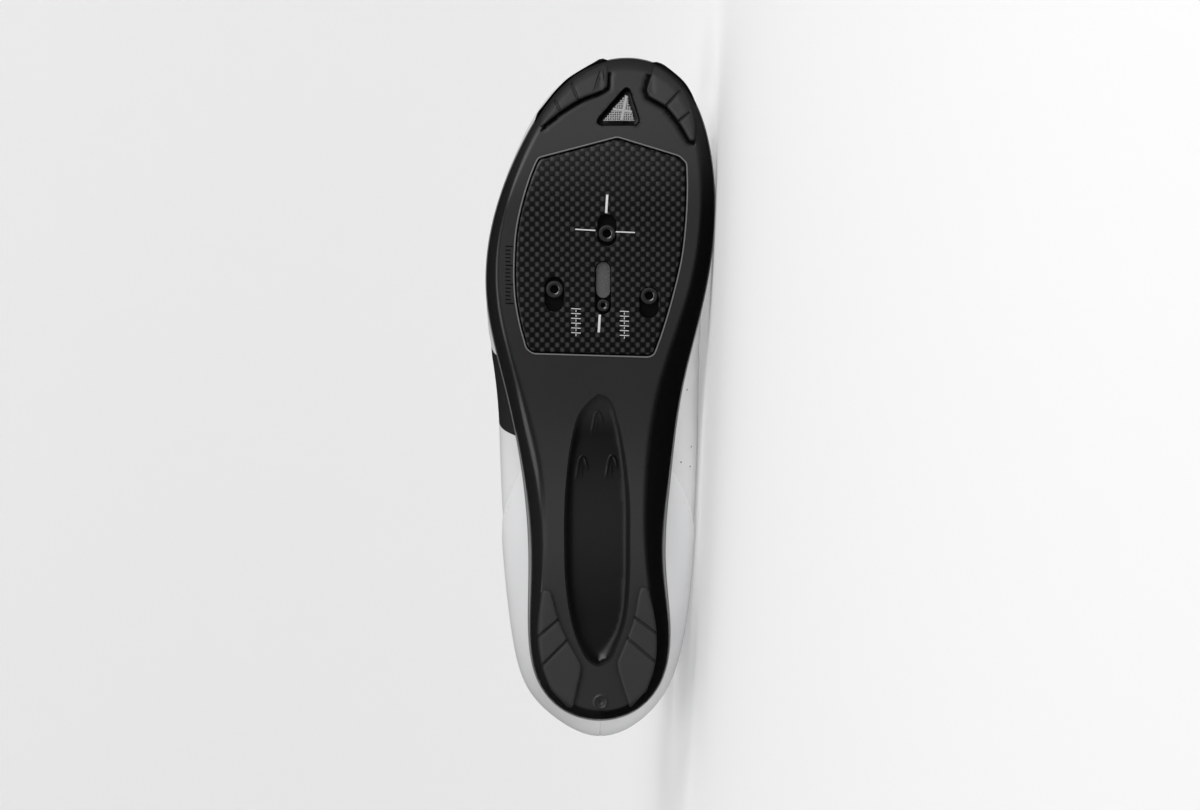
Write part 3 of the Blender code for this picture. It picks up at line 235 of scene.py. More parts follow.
sectionCache = {}


def levelPoints(turn):
    turn = float(signedTurn(turn))
    foot = rimPoints(turn, shoe["lip"])
    footHeight = float(rimHeight(turn)) + shoe["gap"]
    height = float(bodyHeight(abs(turn)))
    rise = float(topShare(turn)) * height - footHeight
    points = [(foot[0], foot[1], footHeight)]
    for name, share in (("bulge", float(bulgeRise(turn))), ("side", sideRise),
                        ("shoulder", shoulderRise), ("top", 1.0)):
        points.append((float(along(name, turn)), float(sides[name](turn)),
                       footHeight + rise * share))
    points.append((float(along("top", turn)), float(ridgeSide(turn)),
                   float(ridgeHeight(turn)) * height))
    return np.array(points)


def section(turn):
    key = round(abs(float(signedTurn(turn))), 6)
    if key not in sectionCache:
        points = np.vstack([levelPoints(key), levelPoints(-key)[-2::-1]])
        chords = np.maximum(np.linalg.norm(np.diff(points, axis=0), axis=1), 0.0005)
        knots = np.concatenate([[0.0], np.cumsum(chords)])
        sectionCache[key] = (naturalSpline(knots, points), knots)
    return sectionCache[key]


def upperRow(turn, heights):
    spline, knots = section(turn)
    heights = np.asarray(heights, dtype=float)
    if float(signedTurn(turn)) < 0:
        heights = 2 * ridgeShare - heights
    over = heights > ridgeShare
    share = np.where(over, 2 * ridgeShare - heights, heights)
    i = np.clip(np.searchsorted(levelShares, share) - 1, 0, len(levelShares) - 2)
    low = np.array(levelShares)[i]
    part = (share - low) / (np.array(levelShares)[i + 1] - low)
    start = np.where(over, knots[-1 - i], knots[i])
    end = np.where(over, knots[-2 - i], knots[i + 1])
    return spline(start + (end - start) * part)


def upperGrid(turns, heights):
    return np.stack([upperRow(turn, heights) for turn in turns])


def upperNormals(turns, heights):
    heights = np.asarray(heights, dtype=float)
    around = (upperGrid([t + 0.4 for t in turns], heights)
              - upperGrid([t - 0.4 for t in turns], heights))
    up = upperGrid(turns, heights + 0.01) - upperGrid(turns, np.maximum(heights - 0.01, 0.0))
    normal = np.cross(up, around)
    return normal / np.maximum(np.linalg.norm(normal, axis=-1, keepdims=True), 1e-12)


def wallThickness(turns, heights):
    turns = np.abs(signedTurn(turns))[:, None]
    heights = np.asarray(heights)[None, :]
    start, rise = shoe["padStart"]
    end, fade = shoe["padEnd"]
    padded = smoothStep((heights - start) / rise) * smoothStep((end - turns) / fade)
    return shoe["upperWall"] + shoe["collarPad"] * padded


# Threaded inserts: place along and across the shoe, outer radius and bore
inserts = {
    "insert_front": (0.2043, 0.0028, 0.0034, 0.0019),
    "insert_rear_lateral": (0.1818, -0.0184, 0.0034, 0.0019),
    "insert_rear_medial": (0.1792, 0.0198, 0.0034, 0.0019),
    "insert_centre": (0.1753, 0.0013, 0.0024, 0.0012),
}
insertShape = {"middle": 0.0060, "level": 0.0048, "depth": 0.0023, "thread": 0.0005}


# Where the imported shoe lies, from three inserts of known place
def shoePlacement():
    known = []
    seen = []
    for name in ("insert_front", "insert_rear_lateral", "insert_rear_medial"):
        known.append(Vector((*inserts[name][:2], insertShape["middle"])))
        low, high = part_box(name)
        seen.append((Vector(low) + Vector(high)) / 2)

    def basis(points):
        across = (points[2] - points[1]).normalized()
        normal = across.cross(points[0] - points[1]).normalized()
        return Matrix((across, normal.cross(across), normal)).transposed()

    turned = basis(seen) @ basis(known).transposed()
    middleKnown = sum(known, Vector()) / 3
    middleSeen = sum(seen, Vector()) / 3
    return Matrix.Translation(middleSeen - turned @ middleKnown) @ turned.to_4x4()


placement = shoePlacement()
turnToWorld = np.array(placement.to_3x3())
shiftToWorld = np.array(placement.translation)
print("shoe placed")


def newPiece(name, vertices, faces, materials, faceSlots=None, smoothAngle=40):
    mesh = bpy.data.meshes.new(name)
    placed = np.array([tuple(v) for v in vertices]) @ turnToWorld.T + shiftToWorld
    mesh.from_pydata(placed.tolist(), [], [tuple(f) for f in faces])
    for material in materials:
        mesh.materials.append(material)
    if faceSlots is not None:
        mesh.polygons.foreach_set("material_index", faceSlots)
    mesh.polygons.foreach_set("use_smooth", [True] * len(mesh.polygons))
    mesh.validate()
    mesh.update()
    mesh.set_sharp_from_angle(angle=math.radians(smoothAngle))
    piece = bpy.data.objects.new(name, mesh)
    bpy.context.scene.collection.objects.link(piece)
    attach(piece, "root")
    return piece


def facesOut(piece):
    bm = bmesh.new()
    bm.from_mesh(piece.data)
    bmesh.ops.recalc_face_normals(bm, faces=bm.faces)
    bm.to_mesh(piece.data)
    bm.free()


def gridFaces(rows, columns, start=0, closed=False, flip=False):
    faces = []
    for j in range(rows if closed else rows - 1):
        for k in range(columns - 1):
            a = start + j * columns + k
            b = start + ((j + 1) % rows) * columns + k
            faces.append((a, a + 1, b + 1, b) if flip else (a, b, b + 1, a + 1))
    return faces


def ringFaces(first, second):
    count = len(first)
    return [(first[i], first[(i + 1) % count], second[(i + 1) % count], second[i])
            for i in range(count)]


# Points added to a piece as one ring; gives their numbers
def addRing(vertices, points):
    start = len(vertices)
    vertices.extend(points)
    return list(range(start, len(vertices)))


def joinRings(rings, closed=False):
    pairs = zip(rings, rings[1:] + rings[:1] if closed else rings[1:])
    return [face for one, two in pairs for face in ringFaces(one, two)]


# A round or oval of points about a place
def ovalPoints(place, side, up, wide, tall, count):
    angles = [math.tau * k / count for k in range(count)]
    return [place + side * (math.cos(a) * wide) + up * (math.sin(a) * tall) for a in angles]


def acrossNormal(normal):
    side = np.cross(normal, (0, 0, 1.0))
    side /= np.linalg.norm(side)
    return side, np.cross(side, normal)


# Closes a long ring with columns of faces that follow the bed of the sole
def fillRing(vertices, faces, ring, cells, rise):
    half = len(ring) // 2
    left, right = ring[1:half], ring[:half:-1]
    columns = [left]
    for cell in range(1, cells):
        points = []
        for a, b in zip(left, right):
            p, q = np.array(vertices[a]), np.array(vertices[b])
            x, y = (p + (q - p) * cell / cells)[:2]
            points.append((x, y, bedHeight(x) + rise))
        columns.append(addRing(vertices, points))
    columns.append(right)
    for first, second in zip(columns, columns[1:]):
        faces += [(first[i], first[i + 1], second[i + 1], second[i]) for i in range(len(left) - 1)]
        faces += [(ring[0], first[0], second[0]), (ring[half], first[-1], second[-1])]


# Shader effects used by more than one material
def newGroup(name, inputs, outputs):
    group = bpy.data.node_groups.new(name, "ShaderNodeTree")
    for label, kind, value in inputs:
        socket = group.interface.new_socket(label, in_out="INPUT", socket_type=kind)
        socket.default_value = value
    for label, kind in outputs:
        group.interface.new_socket(label, in_out="OUTPUT", socket_type=kind)
    return group, group.nodes.new("NodeGroupInput"), group.nodes.new("NodeGroupOutput")


def addNode(tree, kind, links=(), **values):
    node = tree.nodes.new(kind)
    for key, value in values.items():
        setattr(node, key, value)
    for socket, source in links:
        if hasattr(source, "is_linked") or hasattr(source, "links"):
            tree.links.new(source, node.inputs[socket])
        else:
            node.inputs[socket].default_value = source
    return node


def maths(tree, operation, *inputs):
    return addNode(tree, "ShaderNodeMath", list(enumerate(inputs)), operation=operation).outputs[0]


def blended(tree, kind, factor, a, b, **values):
    return addNode(tree, "ShaderNodeMix", [("Factor", factor), ("A", a), ("B", b)],
                   data_type=kind, **values).outputs["Result"]


# The shoe's own coordinates, so that grain and weave follow its length
def shoeCoordinates(tree):
    place = addNode(tree, "ShaderNodeTexCoord")
    mapping = addNode(tree, "ShaderNodeMapping", [("Vector", place.outputs["Object"]),
                                                  ("Location", tuple(placement.translation)),
                                                  ("Rotation", tuple(placement.to_euler()))],
                      vector_type="TEXTURE")
    return mapping.outputs["Vector"]


# Fine grain: pebbles and a slow change of tone, as height, roughness and brightness
def makeGrainGroup():
    group, start, end = newGroup(
        "fineGrain",
        [("Scale", "NodeSocketFloat", 900.0), ("Roughness", "NodeSocketFloat", 0.5),
         ("Spread", "NodeSocketFloat", 0.08), ("Colour", "NodeSocketColor", (1, 1, 1, 1)),
         ("Tone", "NodeSocketFloat", 0.05)],
        [("Colour", "NodeSocketColor"), ("Roughness", "NodeSocketFloat"),
         ("Height", "NodeSocketFloat")])
    place = shoeCoordinates(group)
    pebble = addNode(group, "ShaderNodeTexVoronoi", [("Vector", place),
                                                     ("Scale", start.outputs["Scale"])])
    cloud = addNode(group, "ShaderNodeTexNoise", [("Vector", place),
                                                  ("Scale", 34.0), ("Detail", 4.0)])
    fine = addNode(group, "ShaderNodeTexNoise", [("Vector", place),
                                                 ("Scale", 420.0), ("Detail", 2.0)])
    centred = maths(group, "SUBTRACT", cloud.outputs["Fac"], 0.5)
    rough = maths(group, "MULTIPLY_ADD", centred, start.outputs["Spread"],
                  start.outputs["Roughness"])
    tone = maths(group, "MULTIPLY_ADD", centred, start.outputs["Tone"], 1.0)
    colour = blended(group, "RGBA", 1.0, start.outputs["Colour"], tone, blend_type="MULTIPLY")
    height = maths(group, "ADD", pebble.outputs["Distance"], fine.outputs["Fac"])
    for label, result in (("Colour", colour), ("Roughness", rough), ("Height", height)):
        group.links.new(result, end.inputs[label])
    return group


grainGroup = makeGrainGroup()


def newMaterial(name, colour, roughness, coat=0.0, metallic=0.0, specular=0.5):
    material = bpy.data.materials.new(name)
    material.use_nodes = True
    principled = material.node_tree.nodes["Principled BSDF"]
    principled.inputs["Base Color"].default_value = (*colour, 1.0)
    principled.inputs["Roughness"].default_value = roughness
    principled.inputs["Coat Weight"].default_value = coat
    principled.inputs["Coat Roughness"].default_value = 0.08
    principled.inputs["Metallic"].default_value = metallic
    principled.inputs["Specular IOR Level"].default_value = specular
    return material, material.node_tree, principled


# A shader group wired straight to the material's colour, roughness and bump
def addEffect(tree, principled, group, settings, strength, distance):
    effect = tree.nodes.new("ShaderNodeGroup")
    effect.node_tree = group
    for label, value in settings.items():
        effect.inputs[label].default_value = value
    relief = addNode(tree, "ShaderNodeBump", [("Strength", strength), ("Distance", distance),
                                              ("Height", effect.outputs["Height"])])
    tree.links.new(effect.outputs["Colour"], principled.inputs["Base Color"])
    tree.links.new(effect.outputs["Roughness"], principled.inputs["Roughness"])
    tree.links.new(relief.outputs["Normal"], principled.inputs["Normal"])
    return effect


def addGrain(tree, principled, scale, bump, spread=0.08, tone=0.05, distance=0.0001):
    settings = {"Scale": scale, "Roughness": principled.inputs["Roughness"].default_value,
                "Spread": spread, "Colour": principled.inputs["Base Color"].default_value,
                "Tone": tone}
    return addEffect(tree, principled, grainGroup, settings, bump, distance)


materialSettings = {
    "soleGloss": {"colour": (0.0032, 0.0032, 0.0034), "roughness": 0.20, "specular": 0.30},
    "soleFlat": {"colour": (0.022, 0.022, 0.0224), "roughness": 0.46, "specular": 0.42},
    # a light grey for the rim's lip and the line round the plate: a painted highlight
    "paintedRimHighlight": {"colour": (0.16, 0.16, 0.16), "roughness": 0.4},
    "pad": {"colour": (0.030, 0.030, 0.031), "roughness": 0.55, "specular": 0.4},
    "insert": {"colour": (0.13, 0.13, 0.135), "roughness": 0.3},
    "cover": {"colour": (0.085, 0.085, 0.088), "roughness": 0.9},
    "grille": {"colour": (0.33, 0.33, 0.33), "roughness": 0.6},
    "upper": {"colour": (0.745, 0.745, 0.745), "roughness": 0.42},
    "band": {"colour": (0.02, 0.02, 0.021), "roughness": 0.38},
    "counter": {"colour": (0.76, 0.765, 0.77), "roughness": 0.36},
    "lining": {"colour": (0.16, 0.16, 0.165), "roughness": 0.9},
    "tongue": {"colour": (0.70, 0.70, 0.705), "roughness": 0.7},
    "insole": {"colour": (0.07, 0.07, 0.075), "roughness": 0.85},
    "lace": {"colour": (0.72, 0.72, 0.72), "roughness": 0.8},
    "print": {"colour": (0.62, 0.62, 0.62), "roughness": 0.5},
}


def madeMaterial(name, scale=0.0, bump=0.0, spread=0.08, tone=0.05, distance=0.0001, **extra):
    values = dict(materialSettings[name])
    material, tree, principled = newMaterial(name, values["colour"], values["roughness"],
                                             specular=values.get("specular", 0.5), **extra)
    if scale:
        addGrain(tree, principled, scale, bump, spread, tone, distance)
    return material


soleGloss = madeMaterial("soleGloss", 60, 0.03, spread=0.10, tone=0.1, distance=0.0003)


# One moulded shell: matt where it is flat, polished where the mesh says so, and darkened towards
# the wall's black where the mesh paints shade
def makeShellMaterial():
    material = madeMaterial("soleFlat", 2600, 0.10, spread=0.10, tone=0.1)
    material.name = "soleShell"
    tree = material.node_tree
    principled = tree.nodes["Principled BSDF"]
    polish = addNode(tree, "ShaderNodeAttribute", attribute_name="polish").outputs["Fac"]
    paintedShade = addNode(tree, "ShaderNodeAttribute", attribute_name="paintedShade").outputs["Fac"]
    wall = materialSettings["soleGloss"]
    grain = principled.inputs["Base Color"].links[0].from_node
    for label, factor, flat, gloss in (
            ("Colour", paintedShade, tuple(grain.inputs["Colour"].default_value), (*wall["colour"], 1)),
            ("Roughness", polish, grain.inputs["Roughness"].default_value, wall["roughness"])):
        kind = "RGBA" if label == "Colour" else "FLOAT"
        tree.links.new(blended(tree, kind, factor, flat, gloss), grain.inputs[label])
    return material


soleShell = makeShellMaterial()
padRubber = madeMaterial("pad", 1700, 0.15, spread=0.12, tone=0.15)
insertMetal = madeMaterial("insert", 1200, 0.05, metallic=0.85)
coverGrey = madeMaterial("cover", 1100, 0.9, tone=0.9, distance=0.0003)
grilleGrey = madeMaterial("grille", 900, 0.1)
counterWhite = madeMaterial("counter", 1100, 0.05)
liningCloth = madeMaterial("lining", 1400, 0.5, tone=0.3)
tongueCloth = madeMaterial("tongue", 1100, 0.4)
insoleCloth = madeMaterial("insole", 1000, 0.5, tone=0.3)
laceCloth = madeMaterial("lace", 1800, 0.6)
printInk = madeMaterial("print", 2200, 0.05, tone=0.2)
paintedRimHighlight = madeMaterial("paintedRimHighlight", 900, 0.05)
print("materials made")


# Plan curves: outlines of the sole's features in the shoe's X, Y
def closedCurve(points, corner=0.965, step=0.0006, rounding=2):
    points = np.array(points, dtype=float)
    edge = np.roll(points, -1, 0) - points
    length = np.linalg.norm(edge, axis=1)
    run = edge / length[:, None]
    before = np.roll(run, 1, 0)
    gentle = ((run * before).sum(1) > corner)[:, None]
    middle = run + before
    middle /= np.maximum(np.linalg.norm(middle, axis=1, keepdims=True), 1e-9)
    leave = np.where(gentle, middle, run)
    arrive = np.where(np.roll(gentle, -1, 0), np.roll(middle, -1, 0), run)
    curve = []
    for i in range(len(points)):
        count = max(2, int(length[i] / step))
        t = (np.arange(count) / count)[:, None]
        curve.append((2 * t ** 3 - 3 * t ** 2 + 1) * points[i]
                     + (t ** 3 - 2 * t ** 2 + t) * leave[i] * length[i]
                     + (3 * t ** 2 - 2 * t ** 3) * points[(i + 1) % len(points)]
                     + (t ** 3 - t ** 2) * arrive[i] * length[i])
    curve = np.vstack(curve)
    for _ in range(rounding):
        curve = 0.5 * curve + 0.25 * (np.roll(curve, 1, 0) + np.roll(curve, -1, 0))
    return curve


def capsule(front, rear, side, half, count=14):
    angles = np.linspace(-90, 90, count)
    tip = np.stack([front - half + half * np.cos(np.radians(angles)),
                    side + half * np.sin(np.radians(angles))], axis=1)
    tail = np.stack([rear + half - half * np.cos(np.radians(angles)),
                     side - half * np.sin(np.radians(angles))], axis=1)
    return np.vstack([tip, tail])


# Distance of each point from a closed outline, negative inside
def signedDistance(points, outline, margin=0.006):
    distance = np.full(len(points), 1.0)
    near = np.all((points > outline.min(0) - margin) & (points < outline.max(0) + margin), axis=1)
    chosen = np.nonzero(near)[0]
    end = np.roll(outline, -1, 0)
    run = end - outline
    length = np.maximum((run * run).sum(1), 1e-18)
    for first in range(0, len(chosen), 3000):
        part = chosen[first:first + 3000]
        p = points[part][:, None, :]
        share = np.clip(((p - outline) * run).sum(-1) / length, 0, 1)
        gap = np.sqrt(((p - outline - run * share[..., None]) ** 2).sum(-1)).min(1)
        crosses = (outline[:, 1] > p[..., 1]) != (end[:, 1] > p[..., 1])
        slope = np.where(np.abs(run[:, 1]) > 1e-12, run[:, 1], 1e-12)
        at = outline[:, 0] + (p[..., 1] - outline[:, 1]) / slope * run[:, 0]
        inside = (crosses & (p[..., 0] < at)).sum(1) % 2 == 1
        distance[part] = np.where(inside, -gap, gap)
    return distance


def lineDistance(points, start, end):
    start, end = np.array(start), np.array(end)
    run = end - start
    share = np.clip(((points - start) @ run) / (run @ run), 0, 1)
    return np.linalg.norm(points - start - run * share[:, None], axis=1)


def offsetCurve(curve, distance):
    run = np.roll(curve, -1, 0) - np.roll(curve, 1, 0)
    run /= np.linalg.norm(run, axis=1, keepdims=True)
    out = np.stack([run[:, 1], -run[:, 0]], axis=1)
    area = (curve[:, 0] * np.roll(curve[:, 1], -1) - np.roll(curve[:, 0], -1) * curve[:, 1]).sum()
    return curve + out * distance * (1 if area > 0 else -1)


def planSheet(loops, step, lines=(), fine=()):
    points = []
    edges = []
    for k, loop in enumerate(list(loops) + list(lines)):
        start = len(points)
        count = len(loop)
        points.extend(tuple(p) for p in loop)
        last = count if k < len(loops) else count - 1
        edges.extend((start + i, start + (i + 1) % count) for i in range(last))
    tree = KDTree(len(points))
    for i, (x, y) in enumerate(points):
        tree.insert((x, y, 0), i)
    tree.balance()
    low, high = np.min(loops[0], axis=0), np.max(loops[0], axis=0)
    areas = [(low, high, step)] + [((x - r, y - r), (x + r, y + r), s) for x, y, r, s in fine]
    for number, (near, far, pitch) in enumerate(areas):
        rows = []
        for j, y in enumerate(np.arange(near[1], far[1], pitch * 0.866)):
            xs = np.arange(near[0] + (j % 2) * pitch / 2, far[0], pitch)
            rows.append(np.stack([xs, np.full(len(xs), y)], axis=1))
        grid = np.vstack(rows)
        grid = grid[signedDistance(grid, loops[0]) < -pitch * 0.5]
        for x, y, r, s in fine:
            away = np.hypot(grid[:, 0] - x, grid[:, 1] - y)
            grid = grid[away > r] if number == 0 else grid
        if number:
            x, y, r, s = fine[number - 1]
            grid = grid[np.hypot(grid[:, 0] - x, grid[:, 1] - y) < r]
        points.extend((x, y) for x, y in grid if tree.find((x, y, 0))[2] > pitch * 0.55)
    result = delaunay_2d_cdt([Vector(p) for p in points], edges, [], 1, 1e-7)
    where = np.array([(v.x, v.y) for v in result[0]])
    found = {}
    for index, sources in enumerate(result[3]):
        for source in sources:
            found[source] = index
    return where, [tuple(f) for f in result[2]], [found[i] for i in range(len(loops[0]))]


rimTurns = np.linspace(-180, 180, 4001)
rimDense = rimPoints(rimTurns)
rimRun = np.concatenate([[0], np.cumsum(np.linalg.norm(np.diff(rimDense, axis=0), axis=1))])
evenTurns = np.interp(np.linspace(0, rimRun[-1], 641)[:-1], rimRun, rimTurns)
rimSearchTurns = np.interp(np.linspace(0, rimRun[-1], 961)[:-1], rimRun, rimTurns)
rimSearch = rimPoints(rimSearchTurns)


# Turn and distance of the rim nearest to each point
def nearestRim(points):
    end = np.roll(rimSearch, -1, 0)
    run = end - rimSearch
    length = (run * run).sum(1)
    turnStep = np.mod(np.roll(rimSearchTurns, -1) - rimSearchTurns, 360)
    inset = np.empty(len(points))
    turn = np.empty(len(points))
    for first in range(0, len(points), 3000):
        p = points[first:first + 3000][:, None, :]
        share = np.clip(((p - rimSearch) * run).sum(-1) / length, 0, 1)
        gap = ((p - rimSearch - run * share[..., None]) ** 2).sum(-1)
        best = gap.argmin(1)
        row = np.arange(len(best))
        inset[first:first + 3000] = np.sqrt(gap[row, best])
        turn[first:first + 3000] = rimSearchTurns[best] + turnStep[best] * share[row, best]
    return turn, inset


# The sole's plain underside with its rounded side wall, and the share in from the rim
def skinHeight(points):
    turn, inset = nearestRim(points)
    share = inset / soleReach(turn)
    foot = underside(points[:, 0])
    top = rimHeight(turn) - sole["rimBand"]
    left = np.clip(1 - share, 0, 1)
    return foot + (top - foot) * (1 - np.sqrt(1 - left * left)), share


def ramp(distance, places, values):
    return np.interp(distance, places, values)


sole = {
    "rimBand": 0.0016,
    "recess": 0.0016,
    "bead": 0.00030,
    "bandWidth": 0.0022,
    "bandDepth": 0.0012,
    "scoopDepth": 0.0052,
    "scoopWall": 0.0030,
    "scoopBowl": 0.0040,
    "ventDepth": 0.0036,
    "ventFrame": 0.0008,
    "ring": (0.01534, 0.0003),
    "ridgeNoses": [(0.1323, -0.0008), (0.1142, -0.0070), (0.1146, 0.0050)],
    "scoopRows": [(0.0292, 0.75), (0.0310, 0.95), (0.0372, 1), (0.0480, 1), (0.0620, 0.96),
                  (0.0780, 0.88), (0.0950, 0.80), (0.1100, 0.72), (0.1220, 0.62), (0.1330, 0.44),
                  (0.1390, 0.22)],
}
outlines = {
    "plate": [(0.2426, 0.0070), (0.2350, 0.0316), (0.2324, 0.0343), (0.2221, 0.0345),
              (0.2100, 0.0340), (0.1953, 0.0324), (0.1802, 0.0290), (0.1642, 0.0243),
              (0.1559, 0.0213), (0.1552, 0.0197), (0.1566, -0.0268), (0.1582, -0.0291),
              (0.1696, -0.0321), (0.1803, -0.0337), (0.1986, -0.0337), (0.2073, -0.0328),
              (0.2200, -0.0298), (0.2307, -0.0261), (0.2343, -0.0244)],
    "vent": [(0.2632, 0.0103), (0.2632, 0.0115), (0.2502, 0.0156), (0.2486, 0.0147),
             (0.2486, -0.0002), (0.2500, -0.0010)],
    "toe_pad_lateral": [(0.2740, 0.0012), (0.2720, 0.0033), (0.2640, 0.0030), (0.2630, 0.0017),
                        (0.2586, -0.0084), (0.2542, -0.0153), (0.2472, -0.0240),
                        (0.2482, -0.0248), (0.2524, -0.0234), (0.2558, -0.0207),
                        (0.2606, -0.0169), (0.2656, -0.0121), (0.2697, -0.0060),
                        (0.2727, -0.0008)],
    "toe_pad_medial": [(0.2726, 0.0219), (0.2627, 0.0188), (0.2600, 0.0196), (0.2560, 0.0267),
                       (0.2498, 0.0316), (0.2416, 0.0364), (0.2418, 0.0383), (0.2469, 0.0386),
                       (0.2534, 0.0377), (0.2600, 0.0354), (0.2646, 0.0326), (0.2681, 0.0290),
                       (0.2716, 0.0246)],
    "heel_pad_lateral": [(0.0611, -0.0222), (0.0601, -0.0196), (0.0494, -0.0168),
                         (0.0410, -0.0131), (0.0310, -0.0076), (0.0280, -0.0074),
                         (0.0133, -0.0108), (0.0127, -0.0128), (0.0200, -0.0198),
                         (0.0293, -0.0234), (0.0434, -0.0254), (0.0487, -0.0251),
                         (0.0600, -0.0237)],
    "heel_pad_medial": [(0.0621, 0.0165), (0.0617, 0.0190), (0.0607, 0.0197), (0.0487, 0.0223),
                        (0.0420, 0.0230), (0.0307, 0.0223), (0.0200, 0.0190), (0.0130, 0.0123),
                        (0.0137, 0.0116), (0.0287, 0.0070), (0.0314, 0.0066), (0.0421, 0.0110),
                        (0.0494, 0.0136), (0.0601, 0.0156)],
    "scoop": [(0.1398, -0.0007), (0.1370, -0.0040), (0.1318, -0.0084), (0.1198, -0.0118),
              (0.1051, -0.0137), (0.0918, -0.0145), (0.0784, -0.0145), (0.0650, -0.0141),
              (0.0487, -0.0118), (0.0380, -0.0084), (0.0314, -0.0044), (0.0294, -0.0007),
              (0.0314, 0.0036), (0.0394, 0.0076), (0.0487, 0.0106), (0.0621, 0.0120),
              (0.0784, 0.0123), (0.0984, 0.0120), (0.1185, 0.0096), (0.1298, 0.0070),
              (0.1378, 0.0036)],
}
slots = {
    "front": (0.2120, 0.1992, 0.0028, 0.0038),
    "rearLateral": (0.1868, 0.1728, -0.0184, 0.0038),
    "rearMedial": (0.1828, 0.1702, 0.0198, 0.0038),
    "centre": (0.1932, 0.1718, 0.0013, 0.0031),
}
curves = {name: closedCurve(points, 0.6 if name == "scoop" else 0.965)
          for name, points in outlines.items()}
curves["vent"] = offsetCurve(curves["vent"], sole["ventFrame"])
slotCurves = {name: capsule(*values) for name, values in slots.items()}


def scoopRelief(points, inside):
    depth = np.interp(points[:, 0], [r[0] for r in sole["scoopRows"]],
                      [r[1] for r in sole["scoopRows"]]) * sole["scoopDepth"]
    width = sole["scoopWall"] + sole["scoopBowl"] * smoothStep((0.0440 - points[:, 0]) / 0.012)
    wall = np.clip(inside / width, 0, 1)
    relief = depth * np.sqrt(1 - (1 - wall) ** 2)
    for x, y in sole["ridgeNoses"]:
        back = x - points[:, 0]
        aside = points[:, 1] - y
        reach = np.where(aside < 0, 0.0105, 0.0065)
        bullet = 0.0022 * np.sqrt(np.clip((back + 0.0002) / 0.0060, 0, 4))
        line = np.exp(-((np.abs(aside) - bullet) / 0.00036) ** 2) * (back > -0.0004)
        body = smoothStep((bullet - np.abs(aside)) / 0.0008 + 0.5) * (back > -0.0002)
        relief -= (0.0006 * line + 0.0004 * body) * (1 - smoothStep(back / reach))
    return np.maximum(relief, 0)


def soleRelief(points, share):
    plate = signedDistance(points, curves["plate"])
    relief = ramp(plate, [0.00035, 0.00050], [sole["recess"], 0])
    relief = relief - sole["bead"] * np.exp(-((plate - 0.0010) / 0.00038) ** 2)
    for curve in slotCurves.values():
        relief = np.maximum(relief, ramp(signedDistance(points, curve), [0, 0.0001], [0.0030, 0]))
    vent = signedDistance(points, curves["vent"])
    relief = relief + ramp(vent, [-0.0009, -0.0006, 0.0], [sole["ventDepth"], 0.0012, 0])
    scoop = signedDistance(points, curves["scoop"], 0.0005)
    relief = relief + np.where(scoop < 0, scoopRelief(points, np.maximum(-scoop, 0)), 0)
    band = np.full(len(points), 1.0)
    for name in ("toe_pad_lateral", "toe_pad_medial"):
        band = np.minimum(band, signedDistance(points, curves[name]))
    inBand = (band > -0.001) & (band < sole["bandWidth"]) & (share > 0.9)
    slope = ramp(band, [0, 0.0019, sole["bandWidth"]], [sole["bandDepth"], 0.0002, 0])
    relief = relief + np.where(inBand, slope * smoothStep((share - 0.9) / 0.1), 0)
    away = np.hypot(points[:, 0] - sole["ring"][0], points[:, 1] - sole["ring"][1])
    relief = relief - 0.00045 * np.exp(-((away - 0.0025) / 0.00045) ** 2)
    relief = relief + 0.0006 * np.exp(-(away / 0.0008) ** 2)
    return relief, plate, vent, scoop, inBand, band


def bedHeight(x):
    return underside(x) + soleThickness(x)


